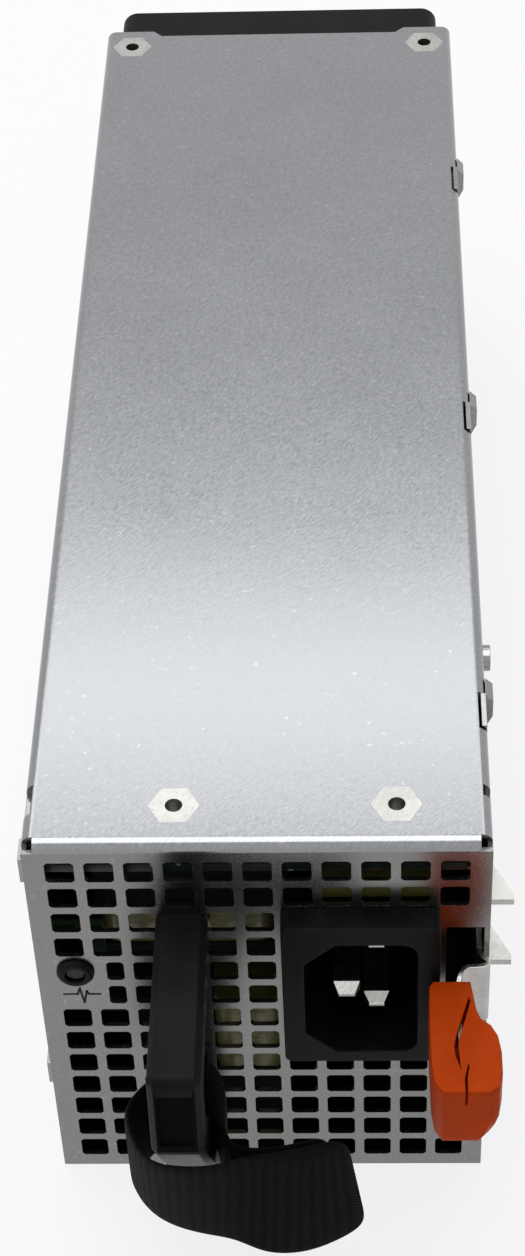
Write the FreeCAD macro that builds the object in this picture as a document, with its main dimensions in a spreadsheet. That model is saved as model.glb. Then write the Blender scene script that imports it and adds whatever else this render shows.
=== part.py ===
import FreeCAD, Part
import math
import os
import re
import Sketcher

# Hot swap server power supply: a sheet-metal case with a square-hole front grille, a cord inlet,
# a pull handle with a cord strap, a spring latch along the right wall and a fan at the rear.
# Millimetres. +X is to the right seen from the front, +Y runs into the bay and +Z is up.
# Sub-parts are drawn with Y = 0 on the front face and then set back by half the case length,
# so the document's origin is the middle of the case's underside.

SIZES = {
    # case
    "case_width": 66.4,
    "case_height": 77.8,
    "case_length": 208.0,
    "sheet_thickness": 0.8,
    "bend_radius": 1.7,
    "rear_edge_recess": 1.6,
    "rear_ear_width": 9.0,
    "bend_relief": 1.7,
    "side_flange": 2.2,
    "hook_width": 7.2,
    "hook_notch_depth": 1.2,
    "hook_bulge": 1.2,
    "hook_drop": 4.6,
    "first_hook_depth": 22.2,
    "hook_spacing": 66.2,
    "dent_width": 1.1,
    "left_dent_depth": 6.2,
    "left_dent_length": 5.4,
    "right_dent_depth": 9.2,
    "right_dent_length": 2.0,
    "front_tab_height": 5.0,
    "front_tab_bulge": 0.7,
    "front_tab_length": 4.0,
    "upper_tab_height": 69.0,
    "lower_tab_height": 21.0,
    "wall_bump_radius": 2.0,
    "wall_bump_depth": 41.0,
    # front grille
    "hole_spacing": 5.6,
    "hole_size": 4.2,
    "hole_corner": 0.45,
    "narrow_hole_width": 2.6,
    "grille_middle_height": 38.4,
    # clinched standoffs and nuts in the top panel
    "standoff_hex": 6.4,
    "standoff_bore_radius": 1.25,
    "standoff_body_radius": 2.7,
    "front_standoff_depth": 7.5,
    "front_standoff_middle": 4.0,
    "front_standoff_span": 31.6,
    "rear_nut_inset": 5.3,
    "rear_nut_span": 56.2,
    "rear_nut_length": 2.2,
    "screw_head_radius": 2.6,
    "screw_head_height": 1.8,
    # inlet
    "inlet_middle": 14.5,
    "inlet_height": 47.7,
    "socket_width": 16.5,
    "socket_height": 25.0,
    "socket_chamfer": 4.6,
    "socket_rounding": 2.6,
    "socket_depth": 17.5,
    "rim_side": 3.2,
    "rim_above": 3.8,
    "rim_below": 2.5,
    "rim_stand": 4.0,
    "rim_rounding": 1.2,
    "inlet_back_depth": 18.0,
    "inlet_back_inset": 1.1,
    "blade_width": 4.0,
    "blade_thickness": 2.0,
    "blade_tip": 0.35,
    "blade_spacing": 14.0,
    "blade_offset": 2.3,
    "earth_offset": 4.4,
    "blade_recess": 4.6,
    "earth_lead_in": 0.9,
    "tail_thickness": 1.0,
    # lamp
    "lamp_radius": 2.8,
    "lamp_across": 27.5,
    "lamp_height": 49.6,
    "lamp_stand": 1.0,
    "lamp_lens_radius": 1.5,
    "lamp_sink": 0.5,
    "lamp_barrel_radius": 2.3,
    "lamp_barrel_length": 5.0,
    "lamp_board_size": 8.0,
    # pull handle
    "handle_width": 7.5,
    "handle_top": 62.7,
    "handle_reach": 30.8,
    "handle_brow": 29.4,
    "handle_bar": 6.5,
    "handle_arm": 5.5,
    "handle_nose": 5.5,
    "handle_knee": 1.8,
    "handle_palm": 2.5,
    "handle_nose_height": 47.6,
    "handle_foot_bottom": 6.6,
    "handle_foot_top": 19.5,
    "handle_foot_stand": 4.0,
    "handle_edge": 0.9,
    "handle_tab": 5.0,
    "handle_tab_depth": 5.0,
    "handle_panel_margin": 1.4,
    "handle_panel_sink": 0.45,
    # cord strap
    "strap_height": 20.0,
    "strap_thickness": 1.3,
    "strap_bottom": 22.8,
    "strap_loop_width": 13.8,
    "strap_loop_front": 30.4,
    "strap_loop_back": 5.4,
    "strap_loop_middle": -12.3,
    "strap_loop_rounding": 3.0,
    "strap_tail_length": 21.0,
    "strap_tail_rise": 6.0,
    # latch
    "latch_height": 47.0,
    "latch_thickness": 0.8,
    "latch_bend_radius": 1.44,
    "latch_strip_height": 13.0,
    "latch_nose_height": 9.6,
    "latch_wall_gap": 0.2,
    "latch_pivot_depth": 68.0,
    "latch_end_length": 3.0,
    "latch_jog_width": 4.0,
    "latch_jog_stand": 0.9,
    "barb_reach": 4.0,
    "barb_depth": 9.0,
    "barb_length": 11.0,
    "barb_thickness": 1.2,
    "barb_clearance": 0.3,
    "cutout_left": 26.9,
    "cutout_top": 59.4,
    "cutout_bottom": 40.0,
    "rivet_radius": 1.5,
    "rivet_head_radius": 2.4,
    "rivet_head_height": 0.9,
    "rivet_spacing": 7.0,
    "rivet_clearance": 0.1,
    "grip_left": 24.2,
    "grip_root_right": 30.3,
    "grip_flare_right": 34.4,
    "grip_back": 4.7,
    "grip_front": 24.5,
    "grip_height": 12.2,
    "grip_flare_start": 10.5,
    "grip_flare_end": 14.6,
    "grip_wall": 1.2,
    "grip_fit": 0.1,
    "grip_slit": 0.8,
    "grip_slit_depth": 3.0,
    "grip_edge": 0.9,
    # boards
    "board_thickness": 1.6,
    "board_drop": 6.0,
    "board_margin": 1.2,
    "board_front": 2.4,
    # front filter parts
    "choke_left": -25.0,
    "choke_width": 27.0,
    "choke_front": 10.6,
    "choke_length": 17.0,
    "choke_flange": 2.0,
    "choke_winding_top": 50.6,
    "choke_winding_height": 7.6,
    "choke_core_width": 9.0,
    "film_width": 26.5,
    "film_length": 11.0,
    "film_height": 20.0,
    "film_front": 29.0,
    "film_left": -28.0,
    "inlet_film_left": 8.0,
    "inlet_film_width": 17.0,
    "inlet_film_front": 3.0,
    "inlet_film_length": 12.0,
    "inlet_film_height": 4.4,
    "fuse_radius": 2.6,
    "fuse_length": 20.0,
    "fuse_cap": 5.0,
    "fuse_front": 28.0,
    "stage_choke_left": -8.8,
    "stage_choke_width": 11.2,
    "stage_choke_front": 8.0,
    "stage_choke_length": 12.0,
    "stage_choke_base": 12.6,
    "stage_choke_top": 31.0,
    # power stage
    "sink_plate": 2.5,
    "sink_height": 46.0,
    "fin_thickness": 1.2,
    "fin_length": 9.0,
    "fin_spacing": 6.5,
    "primary_sink_across": -16.5,
    "primary_sink_front": 46.0,
    "primary_sink_length": 50.0,
    "bulk_radius": 13.0,
    "bulk_height": 48.0,
    "bulk_across": 15.5,
    "bulk_front": 62.0,
    "bulk_spacing": 28.0,
    "transformer_across": -4.0,
    "transformer_front": 106.0,
    "transformer_width": 36.0,
    "transformer_length": 30.0,
    "transformer_height": 34.0,
    "core_thickness": 7.0,
    "secondary_sink_across": 21.5,
    "secondary_sink_front": 108.0,
    "secondary_sink_length": 44.0,
    "inductor_radius": 9.0,
    "inductor_wire_radius": 4.6,
    "inductor_edge": 1.8,
    "inductor_across": -12.5,
    "inductor_front": 152.0,
    "package_width": 10.0,
    "package_height": 15.0,
    "package_thickness": 4.4,
    "package_spacing": 13.0,
    "output_can_radius": 4.5,
    "output_can_height": 18.0,
    "output_can_spacing": 9.6,
    "output_can_front": 156.0,
    "output_can_across": 7.5,
    "control_board_height": 30.0,
    "control_board_length": 70.0,
    "control_board_front": 92.0,
    "control_board_across": -29.0,
    # output end
    "output_board_width": 46.0,
    "output_board_front": 138.0,
    "output_board_stand": 7.0,
    "edge_reach": 12.0,
    "edge_width": 40.0,
    "finger_width": 2.2,
    "finger_spacing": 3.6,
    "finger_length": 9.0,
    "finger_thickness": 0.2,
    "bus_bar_width": 12.0,
    "bus_bar_thickness": 2.0,
    "bus_bar_spacing": 20.0,
    "bus_bar_depth": 171.0,
    "spacer_radius": 3.0,
    "insulation_thickness": 0.4,
    "insulation_front": 30.0,
    # fan
    "fan_size": 61.4,
    "fan_depth": 38.0,
    "fan_stand": 8.0,
    "fan_bore_radius": 29.2,
    "fan_hub_radius": 13.5,
    "fan_tip_gap": 1.0,
    "fan_ledge": 3.0,
    "fan_ledge_width": 6.5,
    "fan_screw_radius": 2.1,
    "fan_screw_inset": 5.7,
    "fan_corner": 3.0,
    "strut_thickness": 3.0,
    "strut_width": 4.0,
    "rotor_length": 22.0,
    "rotor_cup": 1.6,
    "blade_chord_share": 0.8,
    "vane_thickness": 1.4,
    "vane_root_pitch": 50.0,
    "vane_tip_pitch": 30.0,
    "shaft_radius": 1.5,
    "shaft_clearance": 0.05,
    "bearing_radius": 4.5,
    "bearing_length": 12.0,
    "fit_gap": 0.3,
}

COUNTS = {
    "grille_columns": 11,
    "grille_rows": 13,
    "hook_count": 3,
    "vane_count": 7,
    "strut_count": 4,
    "finger_count": 11,
}

# Edges and faces closer than this, in millimetres, count as being in the same place.
SAME_PLACE = 0.01
ROUNDING_ERROR = 1e-6

document = FreeCAD.newDocument("ServerPowerSupply")
sheet = document.addObject("Spreadsheet::Sheet", "Sizes")
for line_number, (alias, size) in enumerate({**SIZES, **COUNTS}.items(), start=1):
    sheet.set(f"A{line_number}", alias)
    sheet.set(f"B{line_number}", str(size))
    sheet.setAlias(f"B{line_number}", alias)
document.recompute()

ALIASES = re.compile(r"\b(" + "|".join(sorted({**SIZES, **COUNTS}, key=len, reverse=True)) + r")\b")
SUBPARTS = []


# ---------------------------------------------------------------- helpers

def linked(expression):
    """Points every size named in the expression at its cell of the sheet."""
    return ALIASES.sub(r"Sizes.\1", str(expression))


def number(expression):
    """Works out an expression of sheet sizes now."""
    answer = sheet.evalExpression(linked(expression))
    return float(getattr(answer, "Value", answer))


def bind(thing, settings):
    """Ties each property of a document object to its expression."""
    for name, expression in settings.items():
        thing.setExpression(name, linked(expression))


def finish(thing, label):
    """Names a sub-part and sets it back so that the origin is the middle of the underside."""
    thing.Label = label
    driven = {path.lstrip("."): expression for path, expression in thing.ExpressionEngine}
    depth = driven.get("Placement.Base.y", "0")
    thing.setExpression("Placement.Base.y", f"({depth}) - Sizes.case_length / 2")
    SUBPARTS.append(thing)
    return thing


def origin_plane(body, role):
    return next(plane for plane in body.Origin.OriginFeatures if plane.Role == role)


class Drawing:
    """One sketch on a body's origin plane, moved along the plane's axis, with driven dimensions."""

    # XZ sketches face -Y, so a move along +Y is a negative offset.
    OFFSET_SIGN = {"XY_Plane": "", "YZ_Plane": "", "XZ_Plane": "-"}

    def __init__(self, body, role, name, at="0"):
        self.role = role
        self.sketch = body.newObject("Sketcher::SketchObject", name)
        self.sketch.AttachmentSupport = (origin_plane(body, role), [""])
        self.sketch.MapMode = "FlatFace"
        offset = f"{self.OFFSET_SIGN[role]}({at})"
        self.sketch.setExpression("AttachmentOffset.Base.z", linked(offset))

    def drive(self, kind, places, expression):
        """Adds one dimension bound to its expression."""
        index = self.sketch.addConstraint(Sketcher.Constraint(kind, *places, number(expression)))
        self.sketch.setExpression(f"Constraints[{index}]", linked(expression))

    def pin(self, geometry, point, across, up):
        """Places a point by its two distances from the sketch's origin."""
        self.drive("DistanceX", (-1, 1, geometry, point), across)
        self.drive("DistanceY", (-1, 1, geometry, point), up)

    def polygon(self, corners):
        """Closes straight lines through the corners, given as pairs of expressions."""
        places = [FreeCAD.Vector(number(across), number(up), 0) for across, up in corners]
        first = self.sketch.GeometryCount
        count = len(corners)
        for index in range(count):
            self.sketch.addGeometry(Part.LineSegment(places[index], places[(index + 1) % count]))
        for index, (across, up) in enumerate(corners):
            before = first + (index - 1) % count
            self.sketch.addConstraint(Sketcher.Constraint("Coincident", before, 2, first + index, 1))
            self.pin(first + index, 1, across, up)
        return self

    def rectangle(self, left, low, width, height):
        right = f"{left} + ({width})"
        top = f"{low} + ({height})"
        return self.polygon([(left, low), (right, low), (right, top), (left, top)])

    def centred(self, across, up, width, height):
        left = f"{across} - ({width}) / 2"
        low = f"{up} - ({height}) / 2"
        return self.rectangle(left, low, width, height)

    def circle(self, across, up, radius):
        middle = FreeCAD.Vector(number(across), number(up), 0)
        ring = self.sketch.addGeometry(Part.Circle(middle, FreeCAD.Vector(0, 0, 1), number(radius)))
        self.pin(ring, 3, across, up)
        self.drive("Radius", (ring,), radius)
        return self

    def rounded(self, left, low, width, height, radius):
        """A rectangle whose corners are tangent arcs, drawn anticlockwise from the lower left."""
        right = f"{left} + ({width}) - ({radius})"
        top = f"{low} + ({height}) - ({radius})"
        centres = [
            (f"{left} + ({radius})", f"{low} + ({radius})"),
            (right, f"{low} + ({radius})"),
            (right, top),
            (f"{left} + ({radius})", top),
        ]
        size = number(radius)
        normal = FreeCAD.Vector(0, 0, 1)
        arcs = []
        for index, (across, up) in enumerate(centres):
            middle = FreeCAD.Vector(number(across), number(up), 0)
            start = math.pi + index * math.pi / 2
            ring = Part.ArcOfCircle(Part.Circle(middle, normal, size), start, start + math.pi / 2)
            arcs.append(self.sketch.addGeometry(ring))
        for index, arc in enumerate(arcs):
            following = arcs[(index + 1) % 4]
            ends = (self.sketch.getPoint(arc, 2), self.sketch.getPoint(following, 1))
            side = self.sketch.addGeometry(Part.LineSegment(*ends))
            self.sketch.addConstraint(Sketcher.Constraint("Tangent", arc, 2, side, 1))
            self.sketch.addConstraint(Sketcher.Constraint("Tangent", side, 2, following, 1))
        for arc, (across, up) in zip(arcs, centres):
            self.pin(arc, 3, across, up)
            self.drive("Radius", (arc,), radius)
        return self

    def hexagon(self, across, up, flats):
        """A hexagon with two flats facing up and down."""
        corner = f"({flats}) / sqrt(3)"
        return self.polygon([
            (f"{across} + {corner}", up),
            (f"{across} + {corner} / 2", f"{up} + ({flats}) / 2"),
            (f"{across} - {corner} / 2", f"{up} + ({flats}) / 2"),
            (f"{across} - {corner}", up),
            (f"{across} - {corner} / 2", f"{up} - ({flats}) / 2"),
            (f"{across} + {corner} / 2", f"{up} - ({flats}) / 2"),
        ])


def new_body(name):
    return document.addObject("PartDesign::Body", name)


def extrude(body, drawing, length, name):
    """Pads a drawing along the positive direction of its plane's axis."""
    pad = body.newObject("PartDesign::Pad", name)
    pad.Profile = drawing.sketch
    pad.Reversed = drawing.role == "XZ_Plane"
    pad.setExpression("Length", linked(length))
    body.Tip = pad
    document.recompute()
    return pad


def cut(body, drawing, length, name):
    """Pockets a drawing along the positive direction of its plane's axis."""
    before = body.Tip.Shape.Volume
    pocket = body.newObject("PartDesign::Pocket", name)
    pocket.Profile = drawing.sketch
    pocket.Reversed = drawing.role != "XZ_Plane"
    pocket.setExpression("Length", linked(length))
    body.Tip = pocket
    document.recompute()
    if pocket.Shape.Volume > before - ROUNDING_ERROR:
        raise RuntimeError(f"{name} cuts nothing from {body.Name}")
    return pocket


def edge_names(feature, wanted):
    """Names the edges of a feature that the test picks."""
    return [f"Edge{place}" for place, edge in enumerate(feature.Shape.Edges, start=1) if wanted(edge)]


def direction(edge):
    """The edge's unit direction, or None on a curve."""
    if not isinstance(edge.Curve, Part.Line):
        return None
    return (edge.Vertexes[-1].Point - edge.Vertexes[0].Point).normalize()


def near(measured, wanted):
    return abs(measured - wanted) < SAME_PLACE


def along(edge, axis):
    heading = direction(edge)
    return heading is not None and abs(abs(heading.dot(axis)) - 1) < ROUNDING_ERROR


ACROSS = FreeCAD.Vector(1, 0, 0)
DEEP = FreeCAD.Vector(0, 1, 0)
UPWARD = FreeCAD.Vector(0, 0, 1)


def soften(body, wanted, radius, name, kind="Fillet"):
    """Rounds or chamfers the edges of the body's tip that the test picks."""
    base = body.Tip
    picked = edge_names(base, wanted)
    if not picked:
        raise RuntimeError(f"{name} finds no edge on {body.Name}")
    dress = body.newObject(f"PartDesign::{kind}", name)
    dress.Base = (base, picked)
    dress.setExpression("Radius" if kind == "Fillet" else "Size", linked(radius))
    body.Tip = dress
    document.recompute()
    return dress


def repeat_deep(body, feature, spacing, count, name):
    """Repeats a feature at even steps along Y."""
    row = body.newObject("PartDesign::LinearPattern", name)
    axis = next(line for line in body.Origin.OriginFeatures if line.Role == "Y_Axis")
    row.Direction = (axis, [""])
    row.Originals = [feature]
    bind(row, {"Length": f"({spacing}) * (({count}) - 1)", "Occurrences": count})
    body.Tip = row
    document.recompute()
    return row


def box(name, left, front, low, width, length, height):
    """A Part box placed by its left, front, low corner."""
    block = document.addObject("Part::Box", name)
    bind(block, {
        "Length": width,
        "Width": length,
        "Height": height,
        "Placement.Base.x": left,
        "Placement.Base.y": front,
        "Placement.Base.z": low,
    })
    return block


def rod(name, radius, height, across, front, low):
    """An upright Part cylinder."""
    post = document.addObject("Part::Cylinder", name)
    bind(post, {
        "Radius": radius,
        "Height": height,
        "Placement.Base.x": across,
        "Placement.Base.y": front,
        "Placement.Base.z": low,
    })
    return post


def group(name, members):
    """Keeps separate solids of one kind together in a compound."""
    together = document.addObject("Part::Compound", name)
    together.Links = members
    document.recompute()
    return together


def subtract(name, base, tool):
    difference = document.addObject("Part::Cut", name)
    difference.Base = base
    difference.Tool = tool
    document.recompute()
    return difference


def join(name, members):
    union = document.addObject("Part::MultiFuse", name)
    union.Shapes = members
    document.recompute()
    return union


# Lines that several pieces share.
INNER_TOP = "(case_height - sheet_thickness)"
WALL_TOP = "(case_height - side_flange)"
WALL_INSIDE = "(case_width / 2 - sheet_thickness)"
BOARD_TOP = f"({INNER_TOP} - board_drop)"
BOARD_UNDER = f"({BOARD_TOP} - board_thickness)"
FAN_FRONT = "(case_length + fan_stand - fan_depth)"
FAN_LOW = f"({INNER_TOP} - fan_size)"
FAN_MIDDLE = f"({INNER_TOP} - fan_size / 2)"
LATCH_RIGHT = f"({WALL_INSIDE} - latch_wall_gap)"
LATCH_LEFT = f"({LATCH_RIGHT} - latch_thickness)"
LATCH_NOSE_LEFT = f"({LATCH_RIGHT} - latch_jog_width)"
OUTPUT_TOP = "(sheet_thickness + output_board_stand + board_thickness)"
HANDLE_ACROSS = "(-2 * hole_spacing)"
SOCKET_LEFT = "(inlet_middle - socket_width / 2)"
SOCKET_RIGHT = "(inlet_middle + socket_width / 2)"
BLADES_ACROSS = "(inlet_middle + blade_offset)"


# ---------------------------------------------------------------- case

def standoff_places():
    left = "front_standoff_middle - front_standoff_span / 2"
    right = "front_standoff_middle + front_standoff_span / 2"
    return [(left, "front_standoff_depth"), (right, "front_standoff_depth")]


def rear_nut_places():
    depth = "case_length - rear_nut_inset"
    return [("-rear_nut_span / 2", depth), ("rear_nut_span / 2", depth)]


def make_top_panel():
    """The roof of the case, ending in the bend that runs down into the front face."""
    body = new_body("TopPanel")
    half = "case_width / 2"
    section = Drawing(body, "XZ_Plane", "TopSection", "bend_radius")
    section.polygon([
        (f"-({half})", WALL_TOP),
        (f"-({half})", "case_height"),
        (half, "case_height"),
        (half, WALL_TOP),
        (WALL_INSIDE, WALL_TOP),
        (WALL_INSIDE, INNER_TOP),
        (f"-{WALL_INSIDE}", INNER_TOP),
        (f"-{WALL_INSIDE}", WALL_TOP),
    ])
    extrude(body, section, "case_length - bend_radius", "TopSheet")
    round_bends(body, "case_height", INNER_TOP)
    add_front_bend(body)
    ear = f"({half} - rear_ear_width)"
    recess = Drawing(body, "XY_Plane", "RearRecess", INNER_TOP)
    recess.polygon([
        (f"-{ear}", "case_length"),
        (ear, "case_length"),
        (f"{ear} - rear_edge_recess", "case_length - rear_edge_recess"),
        (f"-{ear} + rear_edge_recess", "case_length - rear_edge_recess"),
    ])
    cut(body, recess, "sheet_thickness", "RearRecessCut")
    for index, (across, depth) in enumerate(standoff_places() + rear_nut_places()):
        seat = Drawing(body, "XY_Plane", f"ClinchSeat{index}", INNER_TOP)
        seat.hexagon(across, depth, "standoff_hex")
        cut(body, seat, "sheet_thickness", f"ClinchHole{index}")
    notch = Drawing(body, "XY_Plane", "HookNotch", WALL_TOP)
    notch.rectangle(f"{half} - hook_notch_depth", "first_hook_depth", "hook_notch_depth", "hook_width")
    pocket = cut(body, notch, "side_flange", "HookNotchCut")
    repeat_deep(body, pocket, "hook_spacing", "hook_count", "HookNotches")
    dents = Drawing(body, "XY_Plane", "EdgeDents", WALL_TOP)
    dents.rectangle(f"-({half})", "left_dent_depth", "dent_width", "left_dent_length")
    dents.rectangle(f"{half} - dent_width", "right_dent_depth", "dent_width", "right_dent_length")
    cut(body, dents, "side_flange", "EdgeDentCut")
    return finish(body, "top_panel")


def round_bends(body, outer_height, inner_height):
    """Rounds the two long bends of a case sheet, outside and inside the metal."""
    walls = (
        ("Outer", number("case_width / 2"), number(outer_height), "bend_radius"),
        ("Inner", number(WALL_INSIDE), number(inner_height), "bend_radius - sheet_thickness"),
    )
    for name, across, height, radius in walls:
        soften(body, lambda edge: along(edge, DEEP) and near(edge.BoundBox.ZMax, height)
               and near(abs(edge.BoundBox.XMax), across), radius, f"{name}Bends")


def add_front_bend(body):
    """A quarter turn of sheet, narrowed by a relief notch at each end."""
    bend = Drawing(body, "YZ_Plane", "BendSection", "-case_width / 2 + bend_relief")
    sketch = bend.sketch
    radius = number("bend_radius")
    inner = number("bend_radius - sheet_thickness")
    centre = FreeCAD.Vector(radius, number("case_height") - radius, 0)
    normal = FreeCAD.Vector(0, 0, 1)
    outer_circle = Part.Circle(centre, normal, radius)
    inner_circle = Part.Circle(centre, normal, inner)
    outer_arc = sketch.addGeometry(Part.ArcOfCircle(outer_circle, math.pi / 2, math.pi))
    inner_arc = sketch.addGeometry(Part.ArcOfCircle(inner_circle, math.pi / 2, math.pi))
    top_line = sketch.addGeometry(Part.LineSegment(
        centre + FreeCAD.Vector(0, radius, 0), centre + FreeCAD.Vector(0, inner, 0)))
    low_line = sketch.addGeometry(Part.LineSegment(
        centre - FreeCAD.Vector(radius, 0, 0), centre - FreeCAD.Vector(inner, 0, 0)))
    for first, second in (
        ((outer_arc, 1), (top_line, 1)),
        ((inner_arc, 1), (top_line, 2)),
        ((outer_arc, 2), (low_line, 1)),
        ((inner_arc, 2), (low_line, 2)),
        ((outer_arc, 3), (inner_arc, 3)),
    ):
        sketch.addConstraint(Sketcher.Constraint("Coincident", *first, *second))
    sketch.addConstraint(Sketcher.Constraint("Vertical", top_line))
    sketch.addConstraint(Sketcher.Constraint("Horizontal", low_line))
    bend.pin(outer_arc, 3, "bend_radius", "case_height - bend_radius")
    bend.drive("Radius", (outer_arc,), "bend_radius")
    bend.drive("Radius", (inner_arc,), "bend_radius - sheet_thickness")
    extrude(body, bend, "case_width - 2 * bend_relief", "FrontBend")


# Blocks of grille holes as first column, last column, first row, last row, from the top left.
GRILLE_BLOCKS = [
    (0, 10, 0, 1),
    (0, 2, 2, 3),
    (2, 2, 4, 5),
    (0, 2, 6, 12),
    (3, 3, 4, 9),
    (3, 3, 12, 12),
    (4, 5, 2, 12),
    (6, 9, 8, 12),
    (10, 10, 9, 12),
]
NARROW_COLUMN = 1
NARROW_ROWS = (4, 5)


def grille_hole(across, up, left, right):
    """One punched hole with clipped corners, reaching from left to right of its grid point."""
    half = number("hole_size / 2")
    flat = half - number("hole_corner")
    clip = number("hole_corner")
    corners = [
        (left + clip, -half), (right - clip, -half), (right, -flat), (right, flat),
        (right - clip, half), (left + clip, half), (left, flat), (left, -flat),
    ]
    points = [FreeCAD.Vector(across + x, 0, up + z) for x, z in corners]
    return Part.Face(Part.makePolygon(points + points[:1])).extrude(DEEP * number("sheet_thickness"))


def make_front_grille():
    """The front face: square holes in a regular grid, with the openings that the fittings need."""
    body = new_body("FacePlate")
    plate = Drawing(body, "XZ_Plane", "FaceOutline")
    plate.rectangle("-case_width / 2", "0", "case_width", "case_height - bend_radius")
    extrude(body, plate, "sheet_thickness", "FaceSheet")
    openings = Drawing(body, "XZ_Plane", "FittingOpenings")
    openings.rectangle(
        f"{SOCKET_LEFT} - rim_side + inlet_back_inset",
        "inlet_height - socket_height / 2 - rim_below + inlet_back_inset",
        "socket_width + 2 * rim_side - 2 * inlet_back_inset",
        "socket_height + rim_above + rim_below - 2 * inlet_back_inset",
    )
    openings.rectangle(
        "cutout_left", "cutout_bottom", f"{WALL_INSIDE} - cutout_left", "cutout_top - cutout_bottom")
    openings.circle("-lamp_across", "lamp_height", "lamp_barrel_radius")
    for up in HANDLE_TAB_HEIGHTS:
        openings.centred(HANDLE_ACROSS, up, "handle_tab", "handle_tab")
    cut(body, openings, "sheet_thickness", "FittingCut")

    step = number("hole_spacing")
    half = number("hole_size / 2")
    first_across = -step * (number("grille_columns") - 1) / 2
    first_up = number("grille_middle_height") + step * (number("grille_rows") - 1) / 2
    holes = []
    for first_column, last_column, first_row, last_row in GRILLE_BLOCKS:
        for column in range(first_column, last_column + 1):
            across = first_across + column * step
            for row in range(first_row, last_row + 1):
                holes.append(grille_hole(across, first_up - row * step, -half, half))
    for row in NARROW_ROWS:
        holes.append(grille_hole(first_across + NARROW_COLUMN * step, first_up - row * step,
                                 half - number("narrow_hole_width"), half))
    punches = document.addObject("Part::Feature", "GrillePunches")
    punches.Shape = Part.makeCompound(holes)
    return finish(subtract("FrontGrille", body, punches), "front_grille")


HANDLE_TAB_HEIGHTS = [
    "(handle_top - handle_bar / 2)",
    "(handle_foot_bottom + (handle_foot_top - handle_foot_bottom) / 2)",
]


def make_wrap_cover():
    """Left wall, floor and right wall, bent from one sheet, with hooks that hold the roof."""
    body = new_body("WrapCover")
    section = Drawing(body, "XZ_Plane", "WrapSection", "sheet_thickness")
    half = "case_width / 2"
    section.polygon([
        (f"-({half})", "0"),
        (half, "0"),
        (half, WALL_TOP),
        (WALL_INSIDE, WALL_TOP),
        (WALL_INSIDE, "sheet_thickness"),
        (f"-{WALL_INSIDE}", "sheet_thickness"),
        (f"-{WALL_INSIDE}", WALL_TOP),
        (f"-({half})", WALL_TOP),
    ])
    extrude(body, section, "case_length - sheet_thickness", "WrapSheet")
    round_bends(body, "0", "sheet_thickness")
    tab = Drawing(body, "XY_Plane", "HookTab", WALL_TOP)
    tab.rectangle(
        WALL_INSIDE, "first_hook_depth + fit_gap", "sheet_thickness", "hook_width - 2 * fit_gap")
    raised = extrude(body, tab, "side_flange", "Hook")
    repeat_deep(body, raised, "hook_spacing", "hook_count", "Hooks")
    add_hook_bulges(body)
    slots = Drawing(body, "YZ_Plane", "BarbSlots", WALL_INSIDE)
    for sign in ("-", "+"):
        slots.centred(
            "barb_depth + barb_length / 2",
            f"latch_height {sign} (latch_strip_height / 2 + barb_thickness / 2)",
            "barb_length + 4 * barb_clearance",
            "barb_thickness + 2 * barb_clearance",
        )
    cut(body, slots, "sheet_thickness", "BarbSlotCut")
    rivets = Drawing(body, "YZ_Plane", "RivetHoles", WALL_INSIDE)
    for up in RIVET_HEIGHTS:
        rivets.circle("latch_pivot_depth", up, "rivet_radius")
    cut(body, rivets, "sheet_thickness", "RivetHoleCut")
    return finish(body, "wrap_cover")


RIVET_HEIGHTS = ["latch_height - rivet_spacing / 2", "latch_height + rivet_spacing / 2"]


def add_hook_bulges(body):
    """Wedge-shaped hook noses pressed out of the right wall, a round bump and two left tabs."""
    half = "case_width / 2"
    nose = Drawing(body, "XZ_Plane", "HookNose", "first_hook_depth + hook_width")
    nose.polygon([
        (half, f"{INNER_TOP} - hook_drop - 2 * hook_bulge"),
        (f"{half} + hook_bulge", f"{INNER_TOP} - hook_drop"),
        (f"{half} + hook_bulge", f"{INNER_TOP} - hook_bulge"),
        (half, INNER_TOP),
    ])
    noses = extrude(body, nose, "hook_width / 2", "RightNose")
    repeat_deep(body, noses, "hook_spacing", "hook_count", "RightNoses")
    bump = Drawing(body, "YZ_Plane", "WallBump", half)
    bump.circle("wall_bump_depth", f"{INNER_TOP} - 2 * wall_bump_radius", "wall_bump_radius")
    extrude(body, bump, "hook_bulge", "RightBump")
    tabs = Drawing(body, "YZ_Plane", "FrontTabs", f"-({half}) - front_tab_bulge")
    for up in ("upper_tab_height", "lower_tab_height"):
        tabs.rectangle("sheet_thickness", f"{up}", "front_tab_length", "front_tab_height")
    extrude(body, tabs, "front_tab_bulge", "LeftTabs")


def make_rear_bracket():
    """A shelf under the fan that turns down to close the rear below it, round the edge connector."""
    body = new_body("RearBracket")
    rear = "case_length"
    shelf_top = FAN_LOW
    section = Drawing(body, "YZ_Plane", "BracketSection", "-output_board_width / 2 - board_thickness")
    section.polygon([
        (f"{FAN_FRONT} + fan_ledge", f"{shelf_top} - sheet_thickness"),
        (f"{rear} - 2 * sheet_thickness", f"{shelf_top} - sheet_thickness"),
        (f"{rear} - 2 * sheet_thickness", "sheet_thickness"),
        (f"{rear} - sheet_thickness", "sheet_thickness"),
        (f"{rear} - sheet_thickness", shelf_top),
        (f"{FAN_FRONT} + fan_ledge", shelf_top),
    ])
    extrude(body, section, "output_board_width + 2 * board_thickness", "BracketSheet")
    mouth = Drawing(body, "XZ_Plane", "ConnectorMouth", f"{rear} - 2 * sheet_thickness")
    mouth.centred(
        "0",
        "sheet_thickness + output_board_stand + board_thickness / 2",
        "edge_width + 2 * fit_gap",
        "board_thickness + 2 * fit_gap + 2 * finger_thickness",
    )
    cut(body, mouth, "sheet_thickness", "MouthCut")
    return finish(body, "rear_bracket")


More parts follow.
